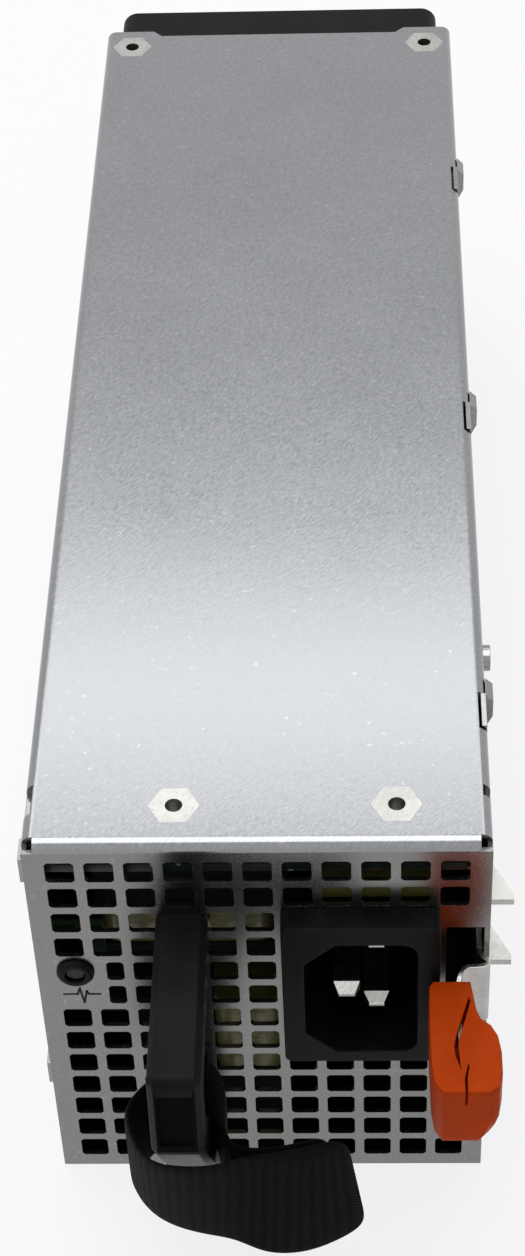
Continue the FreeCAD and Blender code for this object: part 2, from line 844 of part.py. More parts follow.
def make_clinched(label, places, body_low, hole_low):
    """Hexagonal clinch hardware flush with the roof, with a round body below it."""
    solids = []
    for index, (across, depth) in enumerate(places):
        body = new_body(f"{label}{index}".replace("_", ""))
        head = Drawing(body, "XY_Plane", "HexHead", INNER_TOP)
        head.hexagon(across, depth, "standoff_hex")
        extrude(body, head, "sheet_thickness", "Head")
        barrel = Drawing(body, "XY_Plane", "Barrel", body_low)
        barrel.circle(across, depth, "standoff_body_radius")
        extrude(body, barrel, f"{INNER_TOP} - {body_low}", "BarrelPad")
        bore = Drawing(body, "XY_Plane", "Bore", hole_low)
        bore.circle(across, depth, "standoff_bore_radius")
        cut(body, bore, f"case_height - {hole_low}", "BorePocket")
        solids.append(body)
    return finish(group(f"{label}Set".replace("_", ""), solids), label)


def make_board_screws():
    """Two screws that hold the main board up to its standoffs."""
    solids = []
    for index, (across, depth) in enumerate(standoff_places()):
        head = rod(f"ScrewHead{index}", "screw_head_radius", "screw_head_height",
                   across, depth, f"{BOARD_UNDER} - screw_head_height")
        shank = rod(f"ScrewShank{index}", "standoff_bore_radius - 0.05", "board_thickness + 3",
                    across, depth, BOARD_UNDER)
        screw = join(f"BoardScrew{index}", [head, shank])
        solids.append(screw)
    return finish(group("BoardScrews", solids), "board_screws")


# ---------------------------------------------------------------- front fittings

def make_inlet_housing():
    """The cord inlet turned on its side: rim, body and a socket with two cut corners on the left."""
    body = new_body("InletHousing")
    rim = Drawing(body, "XZ_Plane", "RimOutline", "-rim_stand")
    rim_low = "inlet_height - socket_height / 2 - rim_below"
    rim_width = "socket_width + 2 * rim_side"
    rim_height = "socket_height + rim_above + rim_below"
    rim.rectangle(f"{SOCKET_LEFT} - rim_side", rim_low, rim_width, rim_height)
    extrude(body, rim, "rim_stand", "Rim")
    soften(body, lambda edge: along(edge, DEEP), "rim_rounding", "RimCorners")
    back = Drawing(body, "XZ_Plane", "BackOutline")
    back.rectangle(
        f"{SOCKET_LEFT} - rim_side + inlet_back_inset + 0.1",
        f"{rim_low} + inlet_back_inset + 0.1",
        f"{rim_width} - 2 * inlet_back_inset - 0.2",
        f"{rim_height} - 2 * inlet_back_inset - 0.2",
    )
    extrude(body, back, "inlet_back_depth", "Back")
    socket = Drawing(body, "XZ_Plane", "SocketOutline", "-rim_stand")
    low = "inlet_height - socket_height / 2"
    top = "inlet_height + socket_height / 2"
    socket.polygon([
        (f"{SOCKET_LEFT} + socket_chamfer", low),
        (SOCKET_RIGHT, low),
        (SOCKET_RIGHT, top),
        (f"{SOCKET_LEFT} + socket_chamfer", top),
        (SOCKET_LEFT, f"{top} - socket_chamfer"),
        (SOCKET_LEFT, f"{low} + socket_chamfer"),
    ])
    cut(body, socket, "socket_depth", "Socket")
    right = number(SOCKET_RIGHT)
    deep = number("socket_depth")
    soften(body, lambda edge: along(edge, DEEP) and near(edge.BoundBox.XMax, right)
           and near(edge.BoundBox.YLength, deep), "socket_rounding", "SocketCorners")
    holes = Drawing(body, "XZ_Plane", "BladeHoles", "-rim_stand + socket_depth")
    for across, up in BLADES.values():
        holes.centred(across, up, "blade_width", "blade_thickness")
    cut(body, holes, "inlet_back_depth + rim_stand - socket_depth", "BladeHoleCut")
    return finish(body, "inlet_housing")


BLADES = {
    "line_blade": (BLADES_ACROSS, "inlet_height + blade_spacing / 2"),
    "neutral_blade": (BLADES_ACROSS, "inlet_height - blade_spacing / 2"),
    "earth_blade": (f"({BLADES_ACROSS} - earth_offset)", "inlet_height"),
}


def make_blade(label, across, up, step):
    """One inlet blade with a cut tip, whose tail turns up behind the housing into the main board."""
    body = new_body(label.replace("_", " ").title().replace(" ", ""))
    front = "-rim_stand + blade_recess"
    if label == "earth_blade":
        front = f"{front} - earth_lead_in"
    tail = f"(inlet_back_depth + {step})"
    side = Drawing(body, "YZ_Plane", "BladeSide", f"{across} - blade_width / 2")
    half = "blade_thickness / 2"
    side.polygon([
        (front, f"{up} - {half} + blade_tip"),
        (f"{front} + blade_tip", f"{up} - {half}"),
        (f"{tail} + tail_thickness", f"{up} - {half}"),
        (f"{tail} + tail_thickness", BOARD_UNDER),
        (tail, BOARD_UNDER),
        (tail, f"{up} + {half}"),
        (f"{front} + blade_tip", f"{up} + {half}"),
        (front, f"{up} + {half} - blade_tip"),
    ])
    extrude(body, side, "blade_width", "Blade")
    return finish(body, label)


def make_lamp():
    """A round status lamp: black bezel with a barrel through the face, lens and its small board."""
    body = new_body("LampBezel")
    place = ("-lamp_across", "lamp_height")
    ring = Drawing(body, "XZ_Plane", "BezelOutline", "-lamp_stand")
    ring.circle(*place, "lamp_radius")
    extrude(body, ring, "lamp_stand", "Bezel")
    front = number("-lamp_stand")
    soften(body, lambda edge: near(edge.BoundBox.YMax, front), "lamp_sink", "BezelEdge", "Chamfer")
    barrel = Drawing(body, "XZ_Plane", "BarrelOutline")
    barrel.circle(*place, "lamp_barrel_radius")
    extrude(body, barrel, "lamp_barrel_length", "Barrel")
    bore = Drawing(body, "XZ_Plane", "BoreOutline", "-lamp_stand")
    bore.circle(*place, "lamp_lens_radius")
    cut(body, bore, "lamp_stand + lamp_barrel_length", "LampBore")
    finish(body, "lamp_bezel")

    lens = new_body("LampLens")
    profile = Drawing(lens, "XZ_Plane", "LensOutline", "-lamp_stand + lamp_sink")
    profile.circle(*place, "lamp_lens_radius")
    extrude(lens, profile, "lamp_stand + lamp_barrel_length - lamp_sink", "Lens")
    soften(lens, lambda edge: edge.BoundBox.YMax < 0, "lamp_sink / 2", "LensEdge", "Chamfer")
    finish(lens, "lamp_lens")

    board = box("LampBoard", "-lamp_across - lamp_board_size / 2", "lamp_barrel_length",
                "lamp_height - lamp_board_size / 2", "lamp_board_size", "board_thickness", "lamp_board_size")
    finish(board, "lamp_board")


def nose_front(height):
    """How far the leaning front of the handle stands out at a height."""
    lean = "(handle_reach - handle_brow) / (handle_top - handle_nose_height)"
    return f"(handle_brow + (handle_top - {height}) * {lean})"


def make_handle():
    """A moulded pull: level top bar, upright nose and a lower arm that slopes back to the face."""
    body = new_body("Handle")
    left = f"{HANDLE_ACROSS} - handle_width / 2"
    side = Drawing(body, "YZ_Plane", "HandleSide", left)
    slope = "((handle_nose_height - handle_foot_bottom) / (handle_reach - handle_foot_stand))"
    arm_rise = f"(handle_arm * sqrt(1 + {slope} * {slope}))"
    side.polygon([
        ("0", "handle_top"),
        ("-handle_brow", "handle_top"),
        ("-handle_reach", "handle_nose_height"),
        ("-handle_foot_stand", "handle_foot_bottom"),
        ("0", "handle_foot_bottom"),
    ])
    extrude(body, side, "handle_width", "HandleBlank")
    inside_low = f"(handle_foot_bottom + {arm_rise})"
    inside_top = "(handle_top - handle_bar)"
    reach = "(handle_reach - handle_nose)"
    gap = Drawing(body, "YZ_Plane", "FingerGap", left)
    gap.polygon([
        ("0", inside_top),
        (f"-{reach}", inside_top),
        (f"-{reach}", f"{inside_low} + ({reach} - handle_foot_stand) * {slope}"),
        ("-handle_foot_stand", inside_low),
        ("-handle_foot_stand", "handle_foot_top"),
        ("0", "handle_foot_top"),
    ])
    cut(body, gap, "handle_width", "FingerGapCut")
    brow = number("-handle_brow")
    soften(body, lambda edge: along(edge, ACROSS) and edge.BoundBox.YMax < brow + SAME_PLACE,
           "handle_knee", "NoseRounding")
    palm = number(f"-{reach}")
    soften(body, lambda edge: along(edge, ACROSS) and near(edge.BoundBox.YMax, palm),
           "handle_palm", "PalmRounding")
    top = number("handle_top")
    soften(body, lambda edge: along(edge, DEEP) and near(edge.BoundBox.ZMax, top),
           "handle_edge", "SideBevels", kind="Chamfer")
    panel = Drawing(body, "YZ_Plane", "NosePanel", f"{left} + handle_panel_margin")
    panel_top = "(handle_top - handle_knee - handle_panel_margin)"
    panel_low = "(handle_nose_height + handle_knee)"
    panel.polygon([
        (f"-({nose_front(panel_top)}) + handle_panel_sink", panel_top),
        ("-handle_reach", panel_top),
        ("-handle_reach", panel_low),
        (f"-({nose_front(panel_low)}) + handle_panel_sink", panel_low),
    ])
    cut(body, panel, "handle_width - 2 * handle_panel_margin", "NosePanelCut")
    for index, up in enumerate(HANDLE_TAB_HEIGHTS):
        tab = Drawing(body, "XZ_Plane", f"Tab{index}")
        tab.centred(HANDLE_ACROSS, up, "handle_tab", "handle_tab")
        extrude(body, tab, "sheet_thickness", f"TabPad{index}")
        pilot = Drawing(body, "XZ_Plane", f"Pilot{index}", "sheet_thickness - handle_tab_depth")
        pilot.circle(HANDLE_ACROSS, up, "standoff_bore_radius")
        cut(body, pilot, "handle_tab_depth", f"PilotCut{index}")
    return finish(body, "handle")


def make_handle_screws():
    """A screw and its wide washer head behind the face at each handle foot."""
    solids = []
    for index, up in enumerate(HANDLE_TAB_HEIGHTS):
        body = new_body(f"HandleScrew{index}")
        head = Drawing(body, "XZ_Plane", "Head", "sheet_thickness")
        head.circle(HANDLE_ACROSS, up, "handle_tab / 2 + 1.5")
        extrude(body, head, "screw_head_height", "HeadPad")
        shank = Drawing(body, "XZ_Plane", "Shank", "sheet_thickness - handle_tab_depth + 0.5")
        shank.circle(HANDLE_ACROSS, up, "standoff_bore_radius")
        extrude(body, shank, "handle_tab_depth - 0.5", "ShankPad")
        solids.append(body)
    return finish(group("HandleScrews", solids), "handle_screws")


def make_cable_strap():
    """A webbing strap standing on edge: a loop round the handle's lower arm and a double tail."""
    body = new_body("CableStrap")
    left = "(strap_loop_middle - strap_loop_width / 2)"
    right = "(strap_loop_middle + strap_loop_width / 2)"
    length = "(strap_loop_front - strap_loop_back)"
    loop = Drawing(body, "XY_Plane", "LoopOutline", "strap_bottom")
    loop.rounded(left, "-strap_loop_front", "strap_loop_width", length, "strap_loop_rounding")
    loop.rounded(
        f"{left} + strap_thickness",
        "-strap_loop_front + strap_thickness",
        "strap_loop_width - 2 * strap_thickness",
        f"{length} - 2 * strap_thickness",
        "strap_loop_rounding - strap_thickness",
    )
    extrude(body, loop, "strap_height", "Loop")
    tail = Drawing(body, "XZ_Plane", "TailOutline", "-strap_loop_front")
    start = f"{right} - strap_loop_rounding"
    tail.polygon([
        (start, "strap_bottom"),
        (f"{right} + strap_tail_length", "strap_bottom + strap_tail_rise"),
        (f"{right} + strap_tail_length - 3", "strap_bottom + strap_tail_rise + strap_height - 1"),
        (start, "strap_bottom + strap_height"),
    ])
    extrude(body, tail, "strap_thickness", "Tail")
    return finish(body, "cable_strap")


# ---------------------------------------------------------------- latch

def make_latch_spring():
    """A spring strip along the right wall, jogged at the face, with two locking barbs."""
    body = new_body("LatchSpring")
    low = "(latch_height - latch_strip_height / 2)"
    plan = Drawing(body, "XY_Plane", "StripPlan", low)
    end = "latch_pivot_depth + latch_end_length"
    nose_right = f"{LATCH_NOSE_LEFT} + latch_thickness"
    tip = "-grip_front + grip_wall + grip_fit"
    plan.polygon([
        (LATCH_RIGHT, end),
        (LATCH_LEFT, end),
        (LATCH_LEFT, "latch_thickness - latch_jog_stand"),
        (LATCH_NOSE_LEFT, "latch_thickness - latch_jog_stand"),
        (LATCH_NOSE_LEFT, tip),
        (nose_right, tip),
        (nose_right, "-latch_jog_stand"),
        (LATCH_RIGHT, "-latch_jog_stand"),
    ])
    extrude(body, plan, "latch_strip_height", "Strip")
    for up, name in ((low, "Lower"), (f"{low} + (latch_strip_height + latch_nose_height) / 2", "Upper")):
        corner = Drawing(body, "XZ_Plane", f"{name}Relief", tip)
        corner.rectangle(
            LATCH_NOSE_LEFT, up, "latch_jog_width", "(latch_strip_height - latch_nose_height) / 2")
        cut(body, corner, "grip_front - grip_wall - grip_fit - grip_back + 1", f"{name}ReliefCut")
    bends = (
        ("OuterBend", LATCH_RIGHT, "-latch_jog_stand"),
        ("NoseBend", LATCH_NOSE_LEFT, "latch_thickness - latch_jog_stand"),
    )
    for name, across, depth in bends:
        wanted_across = number(across)
        wanted_depth = number(depth)
        soften(body, lambda edge: along(edge, UPWARD) and near(edge.BoundBox.YMax, wanted_depth)
               and near(edge.BoundBox.XMax, wanted_across), "latch_bend_radius", name)
    for index, up in enumerate((f"{low} - barb_thickness", f"{low} + latch_strip_height")):
        barb = Drawing(body, "XY_Plane", f"BarbPlan{index}", up)
        barb.polygon([
            (LATCH_LEFT, "barb_depth"),
            ("case_width / 2 + barb_reach", "barb_depth"),
            ("case_width / 2 + barb_reach", "barb_depth + 1"),
            (LATCH_RIGHT, "barb_depth + barb_length"),
            (LATCH_LEFT, "barb_depth + barb_length"),
        ])
        extrude(body, barb, "barb_thickness", f"Barb{index}")
    holes = Drawing(body, "YZ_Plane", "RivetClearance", LATCH_LEFT)
    for up in RIVET_HEIGHTS:
        holes.circle("latch_pivot_depth", up, "rivet_radius + rivet_clearance")
    cut(body, holes, "latch_thickness", "RivetClearanceCut")
    return finish(body, "latch_spring")


def make_latch_rivets():
    """Two rivets through the wall that hold the strip's rear end."""
    solids = []
    for index, up in enumerate(RIVET_HEIGHTS):
        body = new_body(f"LatchRivet{index}")
        start = f"{LATCH_LEFT} - rivet_clearance"
        shank = Drawing(body, "YZ_Plane", "Shank", start)
        shank.circle("latch_pivot_depth", up, "rivet_radius")
        extrude(body, shank, f"case_width / 2 - ({start})", "ShankPad")
        for name, at in (("Inner", f"{start} - rivet_head_height"), ("Outer", "case_width / 2")):
            head = Drawing(body, "YZ_Plane", f"{name}Head", at)
            head.circle("latch_pivot_depth", up, "rivet_head_radius")
            extrude(body, head, "rivet_head_height", f"{name}HeadPad")
        solids.append(body)
    return finish(group("LatchRivets", solids), "latch_rivets")


def make_latch_grip():
    """The moulded finger grip on the strip's nose, flared outwards on the thumb side."""
    body = new_body("LatchGrip")
    low = "(latch_height - grip_height / 2)"
    plan = Drawing(body, "XY_Plane", "GripPlan", low)
    plan.polygon([
        ("grip_left", "-grip_back"),
        ("grip_left + grip_edge / 2", "-grip_front"),
        ("grip_flare_right - grip_edge", "-grip_front"),
        ("grip_flare_right", "-grip_front + 2 * grip_edge"),
        ("grip_flare_right", "-grip_flare_end"),
        ("grip_root_right + grip_edge", "-grip_flare_start"),
        ("grip_root_right", "-grip_back"),
    ])
    extrude(body, plan, "grip_height", "GripBlank")
    flare_length = "(grip_flare_end - grip_flare_start)"
    flares = (
        ("FlareHollow", "-grip_flare_start", flare_length),
        ("FlareRounding", "-grip_flare_end", f"{flare_length} / 2"),
    )
    for name, depth, radius in flares:
        wanted_depth = number(depth)
        soften(body, lambda edge: along(edge, UPWARD) and near(edge.BoundBox.YMax, wanted_depth),
               radius, name)
    front = number("-grip_front")
    top = number(f"{low} + grip_height")
    soften(body, lambda edge: along(edge, ACROSS) and near(edge.BoundBox.YMax, front)
           and near(edge.BoundBox.ZMax, top), "grip_edge", "BrowRounding")
    bottom = number(low)
    soften(body, lambda edge: near(edge.BoundBox.ZMax, bottom), "grip_edge", "ChinBevel", "Chamfer")
    pocket = Drawing(body, "XZ_Plane", "StripPocket", "-grip_front + grip_wall")
    pocket.rectangle(
        f"{LATCH_NOSE_LEFT} - grip_fit",
        "latch_height - latch_nose_height / 2 - grip_fit",
        "latch_thickness + 2 * grip_fit",
        "latch_nose_height + 2 * grip_fit",
    )
    cut(body, pocket, "grip_front - grip_wall - grip_back", "StripPocketCut")
    slit = Drawing(body, "XY_Plane", "GripSlit", f"{low} + grip_height - grip_slit_depth")
    slit.polygon([
        (f"{LATCH_NOSE_LEFT} + 2 * grip_slit", "-grip_back - 1"),
        (LATCH_NOSE_LEFT, "-grip_flare_end + 1"),
        (LATCH_NOSE_LEFT, "-grip_flare_end - 2"),
        (f"{LATCH_NOSE_LEFT} + grip_slit", "-grip_front + 3"),
        (f"{LATCH_NOSE_LEFT} + 2 * grip_slit", "-grip_front + 3"),
        (f"{LATCH_NOSE_LEFT} + grip_slit", "-grip_flare_end - 2"),
        (f"{LATCH_NOSE_LEFT} + grip_slit", "-grip_flare_end + 1"),
        (f"{LATCH_NOSE_LEFT} + 2.4 * grip_slit", "-grip_back - 2"),
    ])
    cut(body, slit, "grip_slit_depth", "GripSlitCut")
    return finish(body, "latch_grip")


# ---------------------------------------------------------------- boards and power parts

def make_main_board():
    """The main board hangs from the roof by two standoffs and lies on the fan housing's ledge."""
    width = f"2 * ({WALL_INSIDE} - board_margin)"
    plate = box("MainBoardPlate", f"-({width}) / 2", "board_front", BOARD_UNDER,
                width, f"{FAN_FRONT} - board_front", "board_thickness")
    holes = [rod(f"BoardHole{index}", "standoff_bore_radius", "board_thickness", across, depth, BOARD_UNDER)
             for index, (across, depth) in enumerate(standoff_places())]
    return finish(subtract("MainBoard", plate, group("BoardHoles", holes)), "main_board")


def hang(name, left, front, width, length, height):
    """A box hanging from the underside of the main board."""
    return box(name, left, front, f"{BOARD_UNDER} - ({height})", width, length, height)


def make_line_filter():
    """Choke with a taped winding, film capacitor and fuse next to the inlet."""
    middle = "(choke_left + choke_width / 2)"
    winding_low = "(choke_winding_top - choke_winding_height)"
    upper = box("ChokeUpper", "choke_left", "choke_front", "choke_winding_top",
                "choke_width", "choke_length", f"{BOARD_UNDER} - choke_winding_top")
    lower = box("ChokeLower", "choke_left", "choke_front", f"{winding_low} - choke_flange",
                "choke_width", "choke_length", "choke_flange")
    post = box("ChokePost", f"{middle} - choke_core_width / 2", "choke_front + choke_length / 4", winding_low,
               "choke_core_width", "choke_length / 2", "choke_winding_height")
    finish(join("ChokeBobbin", [upper, lower, post]), "choke_bobbin")

    winding = box("ChokeWindingBlock", "choke_left + fit_gap", "choke_front + fit_gap", winding_low,
                  "choke_width - 2 * fit_gap", "choke_length - 2 * fit_gap", "choke_winding_height")
    rounded = document.addObject("Part::Fillet", "ChokeWinding")
    rounded.Base = winding
    document.recompute()
    rounded.Edges = [(place, 2.5, 2.5) for place, edge in enumerate(winding.Shape.Edges, start=1)
                     if along(edge, UPWARD)]
    hole = box("ChokeWindingHole", f"{middle} - choke_core_width / 2", "choke_front + choke_length / 4",
               winding_low, "choke_core_width", "choke_length / 2", "choke_winding_height")
    finish(subtract("ChokeTape", rounded, hole), "choke_winding")

    housing_top = "(inlet_height + socket_height / 2 + rim_above - inlet_back_inset - 0.1)"
    finish(box("InletCapacitor", "inlet_film_left", "inlet_film_front", housing_top,
               "inlet_film_width", "inlet_film_length", "inlet_film_height"), "inlet_capacitor")

    finish(hang("FilmCapacitor", "film_left", "film_front", "film_width", "film_length", "film_height"),
           "film_capacitor")

    body = new_body("LineFuse")
    centre_height = f"{BOARD_UNDER} - fuse_radius"
    for name, start, length, radius in (
        ("Glass", "fuse_front", "fuse_length", "fuse_radius - 0.2"),
        ("FrontCap", "fuse_front", "fuse_cap", "fuse_radius"),
        ("RearCap", "fuse_front + fuse_length - fuse_cap", "fuse_cap", "fuse_radius"),
    ):
        ring = Drawing(body, "XZ_Plane", f"{name}Outline", start)
        ring.circle("inlet_middle - 4", centre_height, radius)
        extrude(body, ring, length, name)
    finish(body, "line_fuse")

    base = box("StageChokeBase", "stage_choke_left", "stage_choke_front", "sheet_thickness",
               "stage_choke_width", "stage_choke_length", "stage_choke_base")
    finish(base, "stage_choke_base")
    wound = new_body("StageChoke")
    outline = Drawing(wound, "XY_Plane", "StageChokeOutline", "sheet_thickness + stage_choke_base")
    outline.rectangle("stage_choke_left + 0.4", "stage_choke_front + 0.4",
                      "stage_choke_width - 0.8", "stage_choke_length - 0.8")
    extrude(wound, outline, "stage_choke_top - sheet_thickness - stage_choke_base", "StageChokeBlock")
    soften(wound, lambda edge: along(edge, UPWARD), "stage_choke_width / 4", "StageChokeCorners")
    finish(wound, "stage_choke_winding")


def make_heat_sink(label, across, front, length, fin_side):
    """A plate standing from the board with a row of fins on one face."""
    body = new_body(label.replace("_", " ").title().replace(" ", ""))
    plate = Drawing(body, "XY_Plane", "PlateOutline", f"{BOARD_UNDER} - sink_height")
    plate.rectangle(f"{across} - sink_plate / 2", front, "sink_plate", length)
    extrude(body, plate, "sink_height", "Plate")
    fin = Drawing(body, "XY_Plane", "FinOutline", f"{BOARD_UNDER} - sink_height")
    left = f"{across} + sink_plate / 2" if fin_side > 0 else f"{across} - sink_plate / 2 - fin_length"
    fin.rectangle(left, f"{front} + fin_thickness", "fin_length", "fin_thickness")
    comb = extrude(body, fin, "sink_height - 6", "Fin")
    count = f"floor(({length} - 3 * fin_thickness) / fin_spacing) + 1"
    repeat_deep(body, comb, "fin_spacing", count, "Fins")
    return finish(body, label)


def make_packages(label, across, front, count):
    """Power transistors in a row, flat against a heat sink."""
    solids = []
    for index in range(count):
        solids.append(hang(f"{label}{index}".replace("_", ""), across, f"{front} + {index} * package_spacing",
                           "package_thickness", "package_width", "package_height"))
    return finish(group(f"{label}Set".replace("_", ""), solids), label)


def make_bulk_capacitors():
    """Two upright cans with the rolled groove near the board end."""
    solids = []
    for index in range(2):
        body = new_body(f"BulkCapacitor{index}")
        depth = f"bulk_front + {index} * bulk_spacing"
        can = Drawing(body, "XY_Plane", "CanOutline", f"{BOARD_UNDER} - bulk_height")
        can.circle("bulk_across", depth, "bulk_radius")
        extrude(body, can, "bulk_height - 5", "Can")
        neck = Drawing(body, "XY_Plane", "NeckOutline", f"{BOARD_UNDER} - 5")
        neck.circle("bulk_across", depth, "bulk_radius - 1")
        extrude(body, neck, "2", "Neck")
        foot = Drawing(body, "XY_Plane", "FootOutline", f"{BOARD_UNDER} - 3")
        foot.circle("bulk_across", depth, "bulk_radius")
        extrude(body, foot, "3", "Foot")
        solids.append(body)
    return finish(group("BulkCapacitors", solids), "bulk_capacitors")


def make_transformer():
    """Two ferrite halves round a taped winding."""
    left = "(transformer_across - transformer_width / 2)"
    low = f"({BOARD_UNDER} - transformer_height)"
    outer = box("CoreBlock", left, "transformer_front", low,
                "transformer_width", "transformer_length", "transformer_height")
    window = box("CoreWindow", left, "transformer_front + core_thickness", f"{low} + core_thickness",
                 "transformer_width", "transformer_length - 2 * core_thickness",
                 "transformer_height - core_thickness")
    finish(subtract("TransformerCore", outer, window), "transformer_core")
    winding = box("WindingBlock", left, "transformer_front + core_thickness + fit_gap",
                  f"{low} + core_thickness", "transformer_width",
                  "transformer_length - 2 * core_thickness - 2 * fit_gap",
                  "transformer_height - core_thickness")
    finish(winding, "transformer_winding")


def make_output_inductor():
    """A taped ring-core inductor lying against the board, turned from the section of its winding."""
    body = new_body("OutputInductor")
    section = Drawing(body, "XZ_Plane", "WindingSection", "inductor_front")
    section.sketch.setExpression("AttachmentOffset.Base.x", linked("inductor_across"))
    inner = "inductor_radius - inductor_wire_radius"
    outer = "inductor_radius + inductor_wire_radius"
    low = f"{BOARD_UNDER} - 2 * inductor_wire_radius"
    section.polygon([
        (f"{inner} + inductor_edge", low),
        (f"{outer} - inductor_edge", low),
        (outer, f"{low} + inductor_edge"),
        (outer, f"{BOARD_UNDER} - inductor_edge"),
        (f"{outer} - inductor_edge", BOARD_UNDER),
        (f"{inner} + inductor_edge", BOARD_UNDER),
        (inner, f"{BOARD_UNDER} - inductor_edge"),
        (inner, f"{low} + inductor_edge"),
    ])
    ring = body.newObject("PartDesign::Revolution", "Winding")
    ring.Profile = section.sketch
    ring.ReferenceAxis = (section.sketch, ["V_Axis"])
    section.sketch.Visibility = False
    document.recompute()
    return finish(body, "output_inductor")


def make_output_capacitors():
    solids = []
    for row in range(2):
        for index in range(2):
            solids.append(rod(
                f"OutputCan{row}{index}", "output_can_radius", "output_can_height",
                f"output_can_across + {index} * output_can_spacing",
                f"output_can_front + {row} * output_can_spacing",
                f"{BOARD_UNDER} - output_can_height"))
    return finish(group("OutputCans", solids), "output_capacitors")


def make_control_board():
    """A daughter board standing along the left wall, with its two controller chips."""
    low = f"({BOARD_UNDER} - control_board_height)"
    finish(box("ControlBoard", "control_board_across", "control_board_front", low,
               "board_thickness", "control_board_length", "control_board_height"), "control_board")
    chips = [box(f"ControlChip{index}", "control_board_across + board_thickness",
                 f"control_board_front + 12 + {index} * 28", f"{low} + 9", "2", "14", "10")
             for index in range(2)]
    finish(group("ControlChips", chips), "control_chips")


def make_output_board():
    """The lower board, whose edge passes out at the rear as the output connector."""
    body = new_body("OutputBoard")
    plan = Drawing(body, "XY_Plane", "OutputPlan", "sheet_thickness + output_board_stand")
    rear = "case_length - 2 * sheet_thickness - board_thickness"
    tongue = "case_length + edge_reach"
    half = "output_board_width / 2"
    lip = "edge_width / 2"
    plan.polygon([
        (f"-({half})", "output_board_front"),
        (half, "output_board_front"),
        (half, rear),
        (lip, rear),
        (lip, f"{tongue} - board_thickness"),
        (f"{lip} - board_thickness", tongue),
        (f"-({lip}) + board_thickness", tongue),
        (f"-({lip})", f"{tongue} - board_thickness"),
        (f"-({lip})", rear),
        (f"-({half})", rear),
    ])
    extrude(body, plan, "board_thickness", "OutputPlate")
    finish(body, "output_board")

    fingers = []
    for side, low in (("Upper", OUTPUT_TOP), ("Lower", "sheet_thickness + output_board_stand - finger_thickness")):
        for index in range(int(number("finger_count"))):
            fingers.append(box(
                f"{side}Finger{index}",
                f"({index} - (finger_count - 1) / 2) * finger_spacing - finger_width / 2",
                "case_length + edge_reach - finger_length - 1.5",
                low, "finger_width", "finger_length", "finger_thickness"))
    finish(group("ContactFingers", fingers), "contact_fingers")

    spacers = [rod(f"Spacer{index}", "spacer_radius", "output_board_stand",
                   f"{sign} * (output_board_width / 2 - 2 * spacer_radius)", f"output_board_front + {along_board}",
                   "sheet_thickness")
               for index, (sign, along_board) in enumerate(((-1, 6), (1, 6), (-1, 58), (1, 58)))]
    finish(group("BoardSpacers", spacers), "board_spacers")

    bars = [box(f"BusBar{index}", f"{sign} * bus_bar_spacing / 2 - bus_bar_width / 2", "bus_bar_depth",
                OUTPUT_TOP, "bus_bar_width", "bus_bar_thickness", f"{BOARD_UNDER} - {OUTPUT_TOP}")
            for index, sign in enumerate((-1, 1))]
    finish(group("BusBars", bars), "bus_bars")

    finish(box("InsulationSheet", f"-{WALL_INSIDE} + 2", "insulation_front", "sheet_thickness",
               f"2 * {WALL_INSIDE} - 4", "output_board_front - insulation_front - 2",
               "insulation_thickness"), "insulation_sheet")


# ---------------------------------------------------------------- fan

